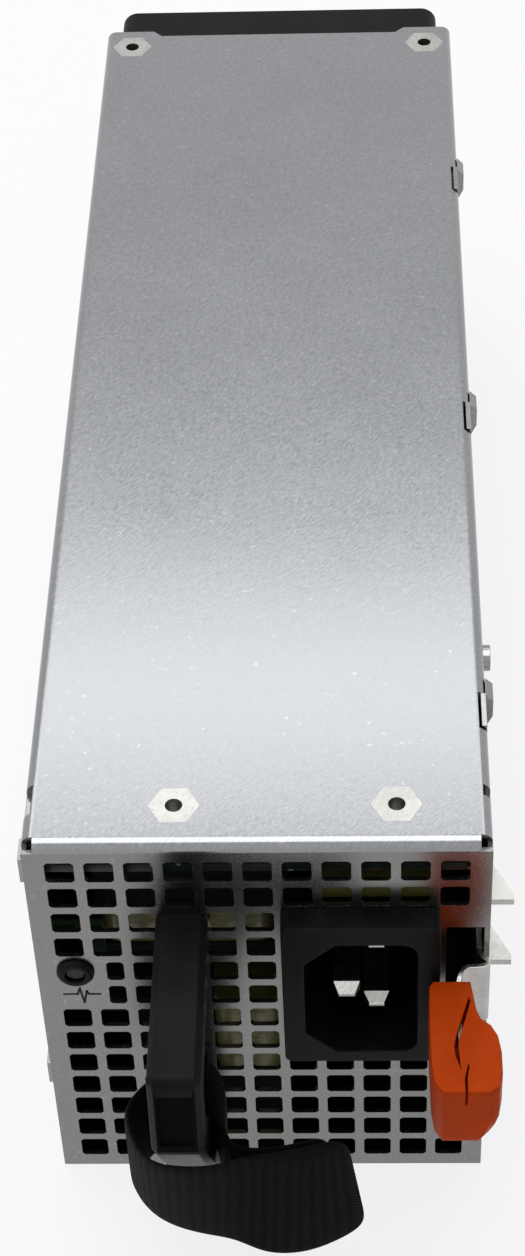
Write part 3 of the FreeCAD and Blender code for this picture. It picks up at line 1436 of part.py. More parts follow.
def make_fan_frame():
    """A square fan housing with a round duct, four struts that carry the hub and a board ledge."""
    body = new_body("FanFrame")
    square = Drawing(body, "XZ_Plane", "FrameOutline", FAN_FRONT)
    square.centred("0", FAN_MIDDLE, "fan_size", "fan_size")
    extrude(body, square, "fan_depth", "FrameBlock")
    soften(body, lambda edge: along(edge, DEEP), "fan_corner", "FrameCorners")
    duct = Drawing(body, "XZ_Plane", "DuctOutline", FAN_FRONT)
    duct.circle("0", FAN_MIDDLE, "fan_bore_radius")
    cut(body, duct, "fan_depth", "Duct")
    holes = Drawing(body, "XZ_Plane", "ScrewHoles", FAN_FRONT)
    reach = "(fan_size / 2 - fan_screw_inset)"
    for across in (f"-{reach}", reach):
        for up in (f"{FAN_MIDDLE} - {reach}", f"{FAN_MIDDLE} + {reach}"):
            holes.circle(across, up, "fan_screw_radius")
    cut(body, holes, "fan_depth", "ScrewHoleCut")
    strut = Drawing(body, "XZ_Plane", "StrutOutline", f"{FAN_FRONT} + fan_depth - strut_thickness")
    strut.rectangle("-strut_width / 2", f"{FAN_MIDDLE} + fan_hub_radius / 2",
                    "strut_width", "fan_bore_radius - fan_hub_radius / 2 + 0.5")
    spoke = extrude(body, strut, "strut_thickness", "Strut")
    ring_of_struts = body.newObject("PartDesign::PolarPattern", "Struts")
    centre = Drawing(body, "XZ_Plane", "StrutCentre", FAN_FRONT)
    centre.circle("0", "0", "shaft_radius")
    centre.sketch.setExpression("AttachmentOffset.Base.y", linked(FAN_MIDDLE))
    ring_of_struts.Originals = [spoke]
    ring_of_struts.Axis = (centre.sketch, ["N_Axis"])
    ring_of_struts.Angle = 360
    ring_of_struts.setExpression("Occurrences", "Sizes.strut_count")
    body.Tip = ring_of_struts
    document.recompute()
    hub = Drawing(body, "XZ_Plane", "HubOutline", f"{FAN_FRONT} + fan_depth - strut_thickness")
    hub.circle("0", FAN_MIDDLE, "fan_hub_radius")
    extrude(body, hub, "strut_thickness", "Hub")
    seat = Drawing(body, "XZ_Plane", "BearingSeat", f"{FAN_FRONT} + fan_depth - strut_thickness")
    seat.circle("0", FAN_MIDDLE, "bearing_radius")
    cut(body, seat, "strut_thickness", "BearingSeatCut")
    ledge = Drawing(body, "XZ_Plane", "LedgeOutline", f"{FAN_FRONT} - fan_ledge")
    for left in ("-fan_size / 2 + fan_corner", "fan_size / 2 - fan_corner - fan_ledge_width"):
        ledge.rectangle(left, f"{BOARD_UNDER} - 2 * sheet_thickness", "fan_ledge_width", "2 * sheet_thickness")
    extrude(body, ledge, "fan_ledge", "BoardLedges")
    for index, (across, depth) in enumerate(rear_nut_places()):
        pocket = Drawing(body, "XY_Plane", f"NutPocket{index}", f"{INNER_TOP} - rear_nut_length - fit_gap")
        pocket.circle(across, depth, "standoff_body_radius + fit_gap")
        cut(body, pocket, "rear_nut_length + fit_gap", f"NutPocketCut{index}")
    return finish(body, "fan_frame")


ROTOR_REAR = f"({FAN_FRONT} + fan_depth - strut_thickness - 1)"
ROTOR_FRONT = f"({ROTOR_REAR} - rotor_length)"


def make_fan_rotor():
    """A cup hub with twisted vanes, built at the document's own axis and then raised."""
    hub_radius = number("fan_hub_radius")
    tip_radius = number("fan_bore_radius - fan_tip_gap")
    length = number("rotor_length")
    share = number("blade_chord_share")

    def vane_section(height, pitch_name, sweep):
        """A thin bowed strip in a plane at one height above the axis, leaning by its pitch."""
        pitch = math.radians(number(pitch_name))
        deep_reach = length * share / 2
        reach = deep_reach / math.tan(pitch)
        half = number("vane_thickness") / 2
        bow = reach / 4
        points = []
        for side in (1, -1):
            for part_way in (-side, 0, side):
                around = part_way * reach + side * half + sweep
                deep = length / 2 + part_way * deep_reach - (bow if part_way == 0 else 0)
                points.append(FreeCAD.Vector(around, deep, height))
        return Part.makePolygon(points + points[:1])

    root = vane_section(hub_radius * 0.7, "vane_root_pitch", 0)
    tip = vane_section(tip_radius, "vane_tip_pitch", 2)
    vane = Part.makeLoft([root, tip], True, True)
    hub = Part.makeCylinder(hub_radius, length, FreeCAD.Vector(0, 0, 0), DEEP)
    hub = hub.makeFillet(2, [edge for edge in hub.Edges if edge.BoundBox.YMax < 0.01])
    wall = number("rotor_cup")
    hollow = Part.makeCylinder(hub_radius - wall, length - wall, FreeCAD.Vector(0, wall, 0), DEEP)
    boss = Part.makeCylinder(number("shaft_radius") + 2, wall + 2, FreeCAD.Vector(0, 0, 0), DEEP)
    bore = Part.makeCylinder(number("shaft_radius"), wall + 2, FreeCAD.Vector(0, 0, 0), DEEP)
    count = int(number("vane_count"))
    vanes = []
    for index in range(count):
        turned = vane.copy()
        turned.rotate(FreeCAD.Vector(0, 0, 0), DEEP, 360 * index / count)
        vanes.append(turned)
    limit = Part.makeCylinder(tip_radius, length, FreeCAD.Vector(0, 0, 0), DEEP)
    rotor = hub.fuse(vanes).common(limit).cut(hollow).fuse(boss).cut(bore)
    feature = document.addObject("Part::Feature", "FanRotor")
    feature.Shape = rotor.removeSplitter()
    bind(feature, {"Placement.Base.z": FAN_MIDDLE})
    feature.Label = "fan_rotor"
    feature.setExpression("Placement.Base.y", linked(f"{ROTOR_FRONT} - case_length / 2"))
    SUBPARTS.append(feature)


def make_fan_core():
    """Shaft in the rotor and the bearing tube in the housing's hub."""
    shaft = new_body("FanShaft")
    ring = Drawing(shaft, "XZ_Plane", "ShaftOutline", ROTOR_FRONT)
    ring.circle("0", FAN_MIDDLE, "shaft_radius")
    extrude(shaft, ring, "rotor_length + 1", "Shaft")
    finish(shaft, "fan_shaft")
    bearing = new_body("FanBearing")
    start = f"{FAN_FRONT} + fan_depth - bearing_length"
    tube = Drawing(bearing, "XZ_Plane", "TubeOutline", start)
    tube.circle("0", FAN_MIDDLE, "bearing_radius")
    extrude(bearing, tube, "bearing_length", "Tube")
    bore = Drawing(bearing, "XZ_Plane", "TubeBore", start)
    bore.circle("0", FAN_MIDDLE, "shaft_radius + shaft_clearance")
    cut(bearing, bore, "bearing_length - 1", "TubeBoreCut")
    finish(bearing, "fan_bearing")


# ---------------------------------------------------------------- build and write

def make_all():
    make_top_panel()
    make_front_grille()
    make_wrap_cover()
    make_rear_bracket()
    make_clinched("board_standoffs", standoff_places(), BOARD_TOP, BOARD_TOP)
    make_clinched("rear_nuts", rear_nut_places(), f"({INNER_TOP} - rear_nut_length)",
                  f"({INNER_TOP} - rear_nut_length)")
    make_board_screws()
    make_inlet_housing()
    for step, (label, (across, up)) in zip(("0.5", "3.5", "6.5"), BLADES.items()):
        make_blade(label, across, up, step)
    make_lamp()
    make_handle()
    make_handle_screws()
    make_cable_strap()
    make_latch_spring()
    make_latch_rivets()
    make_latch_grip()
    make_main_board()
    make_line_filter()
    make_heat_sink("primary_heat_sink", "primary_sink_across", "primary_sink_front", "primary_sink_length", -1)
    make_packages("primary_transistors", "primary_sink_across + sink_plate / 2", "primary_sink_front + 4", 3)
    make_bulk_capacitors()
    make_transformer()
    make_heat_sink("secondary_heat_sink", "secondary_sink_across", "secondary_sink_front",
                   "secondary_sink_length", 1)
    make_packages("rectifiers", "secondary_sink_across - sink_plate / 2 - package_thickness",
                  "secondary_sink_front + 3", 3)
    make_output_inductor()
    make_output_capacitors()
    make_control_board()
    make_output_board()
    make_fan_frame()
    make_fan_rotor()
    make_fan_core()


def check_all():
    """Stops on any failed object or sub-part before anything is written."""
    document.recompute()
    failed = [thing.Name for thing in document.Objects
              if "Invalid" in thing.State or "Error" in thing.State]
    if failed:
        raise RuntimeError(f"failed objects: {failed}")
    for part in SUBPARTS:
        if part.Shape.isNull() or not part.Shape.isValid() or not part.Shape.Solids:
            raise RuntimeError(f"{part.Label} has no valid solid")


def write_all():
    os.makedirs("parts", exist_ok=True)
    for part in SUBPARTS:
        part.Shape.exportStep(f"parts/{part.Label}.step")


make_all()
check_all()
write_all()
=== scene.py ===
import math

import bmesh
import bpy
from bpy.props import FloatProperty, FloatVectorProperty, PointerProperty
from mathutils import Matrix, Vector


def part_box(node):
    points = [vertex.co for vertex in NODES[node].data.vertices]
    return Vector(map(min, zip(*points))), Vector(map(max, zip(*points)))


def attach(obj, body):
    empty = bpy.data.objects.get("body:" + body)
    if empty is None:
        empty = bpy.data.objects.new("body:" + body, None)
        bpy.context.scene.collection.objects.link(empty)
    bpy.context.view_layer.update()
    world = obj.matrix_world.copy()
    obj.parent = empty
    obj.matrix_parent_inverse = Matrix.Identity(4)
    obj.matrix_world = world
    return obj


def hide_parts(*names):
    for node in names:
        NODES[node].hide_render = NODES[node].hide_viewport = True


bl_info = {
    "name": "Server power supply dresser",
    "version": (1, 0, 0),
    "blender": (4, 5, 0),
    "location": "3D View > Sidebar > Power supply",
    "description": "Gives a hot swap server power supply its finishes, strap, grip details and studio stage",
    "category": "Object",
}

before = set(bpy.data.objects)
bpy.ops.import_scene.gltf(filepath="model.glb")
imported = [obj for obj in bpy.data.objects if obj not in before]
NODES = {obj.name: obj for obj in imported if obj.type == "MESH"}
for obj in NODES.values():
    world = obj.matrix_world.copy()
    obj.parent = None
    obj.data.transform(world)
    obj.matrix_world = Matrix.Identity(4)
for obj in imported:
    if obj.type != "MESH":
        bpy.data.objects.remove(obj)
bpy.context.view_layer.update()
MM = 0.001


def display(red, green, blue):
    """A colour given as it looks on a screen, 0 to 255, as the linear colour that the shaders take."""
    return tuple(((level / 255 + 0.055) / 1.055) ** 2.4 if level > 10 else level / 255 / 12.92
                 for level in (red, green, blue))


# ---------------------------------------------------------------- settings

class SteelSettings(bpy.types.PropertyGroup):
    roof_tone: FloatVectorProperty(
        name="Roof tone", description="Zinc-coated sheet of the roof", subtype="COLOR",
        default=display(133, 135, 138), min=0, max=1)
    # The face tone is the roof's zinc sheet painted darker, as painted shade on the grille's upright face.
    shaded_face_tone: FloatVectorProperty(
        name="Face tone", description="Zinc-coated sheet of the front grille", subtype="COLOR",
        default=display(119, 119, 118), min=0, max=1)
    bright_tone: FloatVectorProperty(
        name="Bright tone", description="Nickel and bare spring steel", subtype="COLOR",
        default=display(176, 175, 172), min=0, max=1)
    roughness: FloatProperty(
        name="Roughness", description="Roughness of the rolled sheet", default=0.205, min=0.05, max=1)
    grain: FloatProperty(
        name="Grain", description="Strength of the rolled grain", default=0.22, min=0, max=1)
    edge_rounding: FloatProperty(
        name="Edge rounding", description="Rounding along cut sheet edges", subtype="DISTANCE",
        unit="LENGTH", default=0.12 * MM, min=0.01 * MM, max=1 * MM)


class PlasticSettings(bpy.types.PropertyGroup):
    black: FloatVectorProperty(
        name="Black", description="Moulded black plastic", subtype="COLOR",
        default=display(14, 14, 15), min=0, max=1)
    orange: FloatVectorProperty(
        name="Orange", description="Release grip that a hand can find at once", subtype="COLOR",
        default=display(182, 62, 4), min=0, max=1)
    roughness: FloatProperty(
        name="Roughness", description="Roughness of the moulded parts", default=0.42, min=0.05, max=1)
    edge_rounding: FloatProperty(
        name="Edge rounding", description="Rounding along moulded edges", subtype="DISTANCE",
        unit="LENGTH", default=0.35 * MM, min=0.05 * MM, max=2 * MM)


class StrapSettings(bpy.types.PropertyGroup):
    tone: FloatVectorProperty(
        name="Webbing tone", description="Black nylon webbing", subtype="COLOR",
        default=display(11, 11, 11), min=0, max=1)
    rib_pitch: FloatProperty(
        name="Rib pitch", description="Distance between the webbing's ribs", subtype="DISTANCE",
        unit="LENGTH", default=1.75 * MM, min=0.3 * MM, max=5 * MM)
    thickness: FloatProperty(
        name="Thickness", description="Thickness of the webbing", subtype="DISTANCE",
        unit="LENGTH", default=1.1 * MM, min=0.3 * MM, max=3 * MM)


class StageSettings(bpy.types.PropertyGroup):
    floor_tone: FloatVectorProperty(
        name="Floor tone", description="Pale studio floor", subtype="COLOR",
        default=(0.86, 0.86, 0.86), min=0, max=1)
    floor_size: FloatProperty(
        name="Floor size", description="Side of the floor", subtype="DISTANCE", unit="LENGTH",
        default=6, min=1, max=20)
    lens: FloatProperty(
        name="Lens", description="Focal length of the camera in millimetres", default=77.76, min=20, max=200)
    camera_place: FloatVectorProperty(
        name="Camera place", description="Where the camera stands", subtype="TRANSLATION", unit="LENGTH",
        default=(0.01513, -0.35152, 0.36555))
    camera_turn: FloatVectorProperty(
        name="Camera turn", description="How the camera is turned", subtype="EULER", unit="ROTATION",
        default=(math.radians(45.285), math.radians(1.859), math.radians(1.115)))


SETTINGS = {
    "psu_steel": SteelSettings,
    "psu_plastic": PlasticSettings,
    "psu_strap": StrapSettings,
    "psu_stage": StageSettings,
}


# ---------------------------------------------------------------- shader maths

class Flow:
    """A shader socket that can be added, multiplied and compared like a number."""

    def __init__(self, graph, socket):
        self.graph = graph
        self.socket = socket

    def worked(self, operation, left, right):
        return self.graph.node("ShaderNodeMath", {"operation": operation}, {0: left, 1: right})

    def beside(self, output):
        """Another output of the same node."""
        return Flow(self.graph, self.socket.node.outputs[output])

    def __add__(self, other):
        return self.worked("ADD", self, other)

    def __radd__(self, other):
        return self.worked("ADD", other, self)

    def __sub__(self, other):
        return self.worked("SUBTRACT", self, other)

    def __rsub__(self, other):
        return self.worked("SUBTRACT", other, self)

    def __mul__(self, other):
        return self.worked("MULTIPLY", self, other)

    def __rmul__(self, other):
        return self.worked("MULTIPLY", other, self)

    def __gt__(self, other):
        return self.worked("GREATER_THAN", self, other)

    def __lt__(self, other):
        return self.worked("LESS_THAN", self, other)

    def __abs__(self):
        return self.worked("ABSOLUTE", self, 0)


class Graph:
    """A node tree of a material or of the world."""

    def __init__(self, owner):
        owner.use_nodes = True
        self.tree = owner.node_tree

    def feed(self, socket, value):
        if isinstance(value, Flow):
            self.tree.links.new(value.socket, socket)
        elif socket.type == "RGBA":
            socket.default_value = (*value[:3], 1)
        else:
            socket.default_value = value

    def node(self, kind, settings=None, inputs=None, output=0):
        """Adds a node: its settings first, then the values or links of its sockets."""
        made = self.tree.nodes.new(kind)
        for name, value in (settings or {}).items():
            if name == "stops":
                for element, (position, level) in zip(made.color_ramp.elements, value):
                    element.position = position
                    element.color = (level, level, level, 1)
            else:
                setattr(made, name, value)
        for key, value in (inputs or {}).items():
            self.feed(made.inputs[key], value)
        return Flow(self, made.outputs[output])

    def seen_straight(self):
        """1 on rays from the camera, a mirror or clear glass."""
        camera = self.node("ShaderNodeLightPath", output="Is Camera Ray")
        return camera + camera.beside("Is Glossy Ray") + camera.beside("Is Transmission Ray")


class Finish(Graph):
    """One material, built node by node."""

    def __init__(self, name, colour, roughness, metallic=0.0):
        self.material = bpy.data.materials.new(name)
        super().__init__(self.material)
        self.shader = self.tree.nodes["Principled BSDF"]
        self.give("Base Color", colour)
        self.give("Roughness", roughness)
        self.give("Metallic", metallic)
        self.coords = self.node("ShaderNodeTexCoord", output="Object")

    def give(self, name, value):
        self.feed(self.shader.inputs[name], value)

    def placed(self, stretch=(1, 1, 1), turn=(0, 0, 0)):
        """Object coordinates turned by degrees and stretched."""
        angles = tuple(math.radians(angle) for angle in turn)
        turned = self.node("ShaderNodeMapping", {"vector_type": "TEXTURE"},
                           {"Vector": self.coords, "Rotation": angles})
        return self.node("ShaderNodeMapping", {}, {"Vector": turned, "Scale": stretch})

    def noise(self, where, scale, detail=2.0, roughness=0.5):
        return self.node("ShaderNodeTexNoise", {},
                         {"Vector": where, "Scale": scale, "Detail": detail, "Roughness": roughness})

    def ramp(self, value, low, high):
        """Runs from 0 at low to 1 at high."""
        return self.node("ShaderNodeMapRange", {"interpolation_type": "SMOOTHSTEP"},
                         {"Value": value, "From Min": low, "From Max": high})

    def blend(self, share, first, second):
        """Mixes two colours, which are the mix node's inputs 6 and 7 and its output 2."""
        return self.node("ShaderNodeMix", {"data_type": "RGBA"},
                         {"Factor": share, 6: first, 7: second}, output=2)

    def parts(self, vector):
        """The three numbers of a vector."""
        first = self.node("ShaderNodeSeparateXYZ", {}, {"Vector": vector}, output="X")
        return first, first.beside("Y"), first.beside("Z")

    def folded(self, value, reach):
        """Runs up to reach and back down to 0, over and over."""
        return self.node("ShaderNodeMath", {"operation": "PINGPONG"}, {0: value, 1: reach})

    def bump(self, height, distance, strength=1.0):
        self.give("Normal", self.node("ShaderNodeBump", {}, {
            "Height": height, "Distance": distance, "Strength": strength}))


def darker(colour, share):
    return tuple(channel * share for channel in colour[:3])


def lighter(colour, share):
    return tuple(channel + (1 - channel) * share for channel in colour[:3])


# ---------------------------------------------------------------- finishes

GRAIN_TURN = (0, -24, 52)
DUST = display(110, 108, 105)
SOLDER = display(190, 190, 186)
BARE_CAN = display(196, 197, 198)
PLATED_CAP = display(205, 203, 198)


def sheet_steel(name, tone, roughness, grain):
    """Satin zinc-coated sheet: a fine slanting grain, faint clouds and small rubbed specks."""
    finish = Finish(name, tone, roughness, 1.0)
    fine = finish.noise(finish.placed((620, 3600, 2600), GRAIN_TURN), 1, 2, 0.6)
    clouds = finish.noise(finish.coords, 46, 3, 0.55)
    specks = finish.ramp(finish.noise(finish.coords, 900, 2, 0.6), 0.62, 0.78)
    shade = (fine - 0.5) * grain + (clouds - 0.5) * 0.06
    worn = finish.blend(finish.ramp(shade, -0.16, 0.16), darker(tone, 0.86), lighter(tone, 0.12))
    finish.give("Base Color", finish.blend(specks * 0.22, worn, lighter(tone, 0.4)))
    finish.give("Roughness", roughness + (fine - 0.5) * 0.16 + (clouds - 0.5) * 0.04)
    finish.bump(fine * 0.6 + clouds * 0.3, 0.02 * MM, 0.5)
    return finish.material


def bright_metal(name, tone, roughness):
    """Plated or bare metal with light handling marks."""
    finish = Finish(name, tone, roughness, 1.0)
    marks = finish.noise(finish.placed((700, 2600, 2100), GRAIN_TURN), 1, 3, 0.65)
    clouds = finish.noise(finish.coords, 160, 2)
    finish.give("Base Color", finish.blend(finish.ramp(marks + clouds, 0.8, 1.25), darker(tone, 0.82), tone))
    finish.give("Roughness", roughness + (marks - 0.5) * 0.18)
    finish.bump(marks, 0.01 * MM, 0.4)
    return finish.material


def moulded(name, tone, roughness, texture=1.0, gloss=0.07):
    """Moulded plastic with a fine spark texture and a little dust."""
    finish = Finish(name, tone, roughness)
    finish.give("Specular IOR Level", gloss)
    spark = finish.noise(finish.coords, 2600, 2, 0.6)
    wide = finish.noise(finish.coords, 120, 3)
    motes = finish.ramp(finish.noise(finish.coords, 620, 3, 0.7), 0.6, 0.76)
    soft = finish.blend(finish.ramp(wide, 0.3, 0.7), darker(tone, 0.82), lighter(tone, 0.003))
    finish.give("Base Color", finish.blend(motes * 0.03, soft, DUST))
    finish.give("Roughness", roughness + (wide - 0.5) * 0.14 + motes * 0.12)
    finish.bump(spark + wide * 0.5, 0.03 * MM * texture, 0.5)
    return finish.material


def taped(name, tone, band):
    """Polyester tape wound in overlapping layers."""
    finish = Finish(name, tone, 0.32)
    height = finish.parts(finish.coords)[2]
    wander = finish.noise(finish.coords, 110, 2) * band * 0.4
    layers = finish.folded(height + wander, band)
    overlap = finish.ramp(layers, 0, band * 0.25)
    creases = finish.noise(finish.placed((300, 300, 1400)), 1, 3)
    body = finish.blend(finish.ramp(creases, 0.35, 0.65), darker(tone, 0.72), lighter(tone, 0.06))
    finish.give("Base Color", finish.blend(overlap, darker(tone, 0.55), body))
    finish.give("Coat Weight", 0.35)
    finish.bump(overlap + creases * 0.5, 0.08 * MM, 0.6)
    return finish.material


def laminate(name, tone, track):
    """A circuit board: solder mask over copper tracks with tinned dots."""
    finish = Finish(name, tone, 0.38)
    tracks = finish.node("ShaderNodeTexBrick", {"offset": 0.5}, {
        "Vector": finish.coords, "Scale": 120, "Mortar Size": 0.06, "Color1": (0, 0, 0), "Color2": (0, 0, 0),
        "Mortar": (1, 1, 1)}, output=1)
    dots = finish.node("ShaderNodeTexVoronoi", {}, {"Vector": finish.coords, "Scale": 260})
    solder = finish.ramp(dots, 0.16, 0.1)
    masked = finish.blend(tracks, tone, track)
    finish.give("Base Color", finish.blend(solder, masked, SOLDER))
    finish.give("Metallic", solder)
    finish.bump(tracks + solder, 0.04 * MM, 0.7)
    return finish.material


def sleeved_can(name, sleeve, rim):
    """A capacitor can: bare aluminium up to the rim's height and shrink sleeve above it."""
    finish = Finish(name, sleeve, 0.3)
    height = finish.parts(finish.coords)[2]
    bare = height < rim
    wrinkle = finish.noise(finish.placed((500, 500, 120)), 1, 2)
    finish.give("Base Color", finish.blend(bare, sleeve, BARE_CAN))
    finish.give("Metallic", bare)
    finish.bump(wrinkle, 0.06 * MM, 0.5)
    return finish.material


def wound_wire(name, tone, turns):
    """Enamelled wire laid side by side round a ring."""
    finish = Finish(name, tone, 0.28, 0.8)
    low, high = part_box("output_inductor")
    middle = (low + high) / 2
    local = finish.node("ShaderNodeVectorMath", {"operation": "SUBTRACT"}, {0: finish.coords, 1: middle})
    across, deep, _ = finish.parts(local)
    angle = finish.node("ShaderNodeMath", {"operation": "ARCTAN2"}, {0: deep, 1: across})
    strand = finish.folded(angle * (turns / math.pi), 1.0)
    finish.give("Base Color", finish.blend(strand, darker(tone, 0.35), tone))
    finish.bump(strand, 0.5 * MM, 0.8)
    return finish.material


def folded_sheet(name, tone):
    """Thin insulating film with a soft fibre."""
    finish = Finish(name, tone, 0.6)
    fibre = finish.noise(finish.placed((1400, 300, 300)), 1, 3)
    finish.give("Base Color", finish.blend(fibre, darker(tone, 0.75), lighter(tone, 0.08)))
    finish.bump(fibre, 0.05 * MM, 0.4)
    return finish.material


def end_capped(name, body_tone, low, high):
    """A fuse: ceramic tube with plated caps, lying along the object."""
    finish = Finish(name, body_tone, 0.35)
    along = finish.parts(finish.coords)[1]
    caps = (along < low) + (along > high)
    mottled = finish.noise(finish.coords, 700, 2)
    ceramic = finish.blend(mottled, darker(body_tone, 0.85), body_tone)
    finish.give("Base Color", finish.blend(caps, ceramic, PLATED_CAP))
    finish.give("Metallic", caps)
    return finish.material


def lamp_glass(name):
    """An unlit lamp: smoky lens over a pale diffuser."""
    rim, core = display(7, 8, 8), display(16, 17, 17)
    finish = Finish(name, rim, 0.24)
    finish.give("Specular IOR Level", 0.2)
    low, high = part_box("lamp_lens")
    middle = (low + high) / 2
    flat = finish.node("ShaderNodeVectorMath", {"operation": "MULTIPLY"}, {0: finish.coords, 1: (1, 0, 1)})
    reach = finish.node("ShaderNodeVectorMath", {"operation": "DISTANCE"},
                        {0: flat, 1: (middle.x, 0, middle.z)}, output=1)
    finish.give("Base Color", finish.blend(finish.ramp(reach, 1.3 * MM, 0.5 * MM), rim, core))
    finish.give("Coat Weight", 0.05)
    return finish.material


def webbing(name, tone, pitch, width):
    """Ribbed webbing with slanting threads in each rib, worked on the strap's own length and width."""
    finish = Finish(name, tone, 0.78)
    finish.give("Specular IOR Level", 0.06)
    place = finish.node("ShaderNodeUVMap", {"uv_map": "strap"})
    run, span, _ = finish.parts(place)
    wander = finish.noise(finish.coords, 240, 2)
    rib = finish.folded(run + wander * pitch * 0.35, pitch / 2)
    crest = finish.ramp(rib, 0.05 * pitch, 0.4 * pitch)
    thread = finish.folded(span + run * 1.3 + wander * 0.3 * MM, 0.32 * MM)
    strand = finish.ramp(thread, 0, 0.26 * MM)
    selvedge = finish.ramp(abs(span - width / 2), width * 0.46, width * 0.49)
    fluff = finish.noise(finish.coords, 2200, 3, 0.7)
    weave = crest * 0.65 + strand * 0.35
    cloth = finish.blend(weave, darker(tone, 0.35), lighter(tone, 0.004))
    cloth = finish.blend(finish.ramp(fluff, 0.55, 0.8) * 0.4, cloth, lighter(tone, 0.022))
    finish.give("Base Color", finish.blend(selvedge, cloth, darker(tone, 0.8)))
    finish.give("Sheen Weight", 0.01)
    finish.give("Sheen Roughness", 0.5)
    finish.bump(weave + fluff * 0.25, 0.35 * MM, 0.9)
    return finish.material


# ---------------------------------------------------------------- modelling helpers

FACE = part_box("front_grille")[0].y
MERGE_REACH = 0.002 * MM
FLAT_ANGLE = math.radians(0.5)
LARGE_FACE_WEIGHT = 90
SHEET_SEGMENTS = 2
MOULDED_SEGMENTS = 3


def at(across, depth, height):
    """A place in millimetres, with its depth counted back from the front face."""
    return Vector((across * MM, FACE + depth * MM, height * MM))


def linked(name, data):
    """An object in the scene for a mesh, a light or a camera."""
    made = bpy.data.objects.new(name, data)
    bpy.context.scene.collection.objects.link(made)
    return made


def meshed(name, shape):
    """An object in the scene for a finished bmesh."""
    data = bpy.data.meshes.new(name)
    shape.to_mesh(data)
    shape.free()
    return linked(name, data)


def planted(shape, name, body, finish):
    """Makes a finished bmesh a piece that rides on a body of the frame."""
    piece = meshed(name, shape)
    piece.data.materials.append(finish)
    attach(piece, body)
    return piece


def rounded(piece, width, segments=SHEET_SEGMENTS, angle=32):
    """Rounds the sharp edges of a piece and keeps its flat faces shaded flat."""
    bevel = piece.modifiers.new("Rounding", "BEVEL")
    bevel.width = width
    bevel.segments = segments
    bevel.limit_method = "ANGLE"
    bevel.angle_limit = math.radians(angle)
    bevel.use_clamp_overlap = True
    bevel.harden_normals = True
    for polygon in piece.data.polygons:
        polygon.use_smooth = True
    piece.data.set_sharp_from_angle(angle=math.radians(angle))
    even = piece.modifiers.new("Even shading", "WEIGHTED_NORMAL")
    even.weight = LARGE_FACE_WEIGHT
    even.keep_sharp = True
    return piece


def merged(node):
    """A merged copy of a CAD piece, with its flat faces whole."""
    shape = bmesh.new()
    shape.from_mesh(NODES[node].data)
    bmesh.ops.remove_doubles(shape, verts=shape.verts, dist=MERGE_REACH)
    bmesh.ops.dissolve_limit(shape, angle_limit=FLAT_ANGLE, verts=shape.verts, edges=shape.edges)
    return shape


def softened(node, name, body, finish, width, segments=SHEET_SEGMENTS, shape=None):
    """Stands a merged copy with rounded edges, or a shape made from one, in the place of a CAD piece."""
    shape = shape or merged(node)
    piece = planted(shape, name, body, finish)
    rounded(piece, width, segments)
    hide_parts(node)
    return piece


def dressed(node, finish):
    """Gives a CAD piece its finish."""
    slots = NODES[node].data.materials
    slots.clear()
    slots.append(finish)


def lofted(rings):
    """A closed form through rings that have the same number of places."""
    shape = bmesh.new()
    loops = []
    for ring in rings:
        corners = [shape.verts.new(place) for place in ring]
        loops.append([shape.edges.new(pair) for pair in zip(corners, corners[1:] + corners[:1])])
        if len(loops) > 1:
            bmesh.ops.bridge_loops(shape, edges=loops[-2] + loops[-1])
    for loop in (loops[0], loops[-1]):
        bmesh.ops.contextual_create(shape, geom=loop)
    bmesh.ops.recalc_face_normals(shape, faces=shape.faces)
    return shape


def carved(piece, cutters):
    """Cuts closed shapes out of a piece for good."""
    for cutter in cutters:
        tool = meshed("cutter", cutter)
        knife = piece.modifiers.new("Cut", "BOOLEAN")
        knife.operation = "DIFFERENCE"
        knife.object = tool
        cut = piece.evaluated_get(bpy.context.evaluated_depsgraph_get())
        piece.data = bpy.data.meshes.new_from_object(cut)
        piece.modifiers.remove(knife)
        bpy.data.objects.remove(tool)
    return piece


def ribbon(stations, across_steps):
    """A band bridged through stations, each the low and the high point of its width, and its length."""
    shape = bmesh.new()
    mapping = shape.loops.layers.uv.new("strap")
    place = {}
    run = 0.0
    row, edges = [], []
    for low, high in stations:
        low, high = at(*low), at(*high)
        before, edges_before = row, edges
        row = [shape.verts.new(low.lerp(high, step / across_steps)) for step in range(across_steps + 1)]
        edges = [shape.edges.new(pair) for pair in zip(row, row[1:])]
        if before:
            bmesh.ops.bridge_loops(shape, edges=edges_before + edges)
            run += (row[across_steps // 2].co - before[across_steps // 2].co).length
        for step, vertex in enumerate(row):
            place[vertex] = (run, (high - low).length * step / across_steps)
    for face in shape.faces:
        for loop in face.loops:
            loop[mapping].uv = place[loop.vert]
    bmesh.ops.recalc_face_normals(shape, faces=shape.faces)
    return shape, run


def thickened(piece, thickness):
    """Gives a thin band its thickness, half on either side."""
    wall = piece.modifiers.new("Thickness", "SOLIDIFY")
    wall.thickness = thickness
    wall.offset = 0


# ---------------------------------------------------------------- pieces

class Dresser(bpy.types.Operator):
    """Shared base of the operators that finish the power supply"""

    bl_options = {"REGISTER", "UNDO"}

    @property
    def steel(self):
        return bpy.context.scene.psu_steel

    @property
    def plastic(self):
        return bpy.context.scene.psu_plastic

    @property
    def strap(self):
        return bpy.context.scene.psu_strap


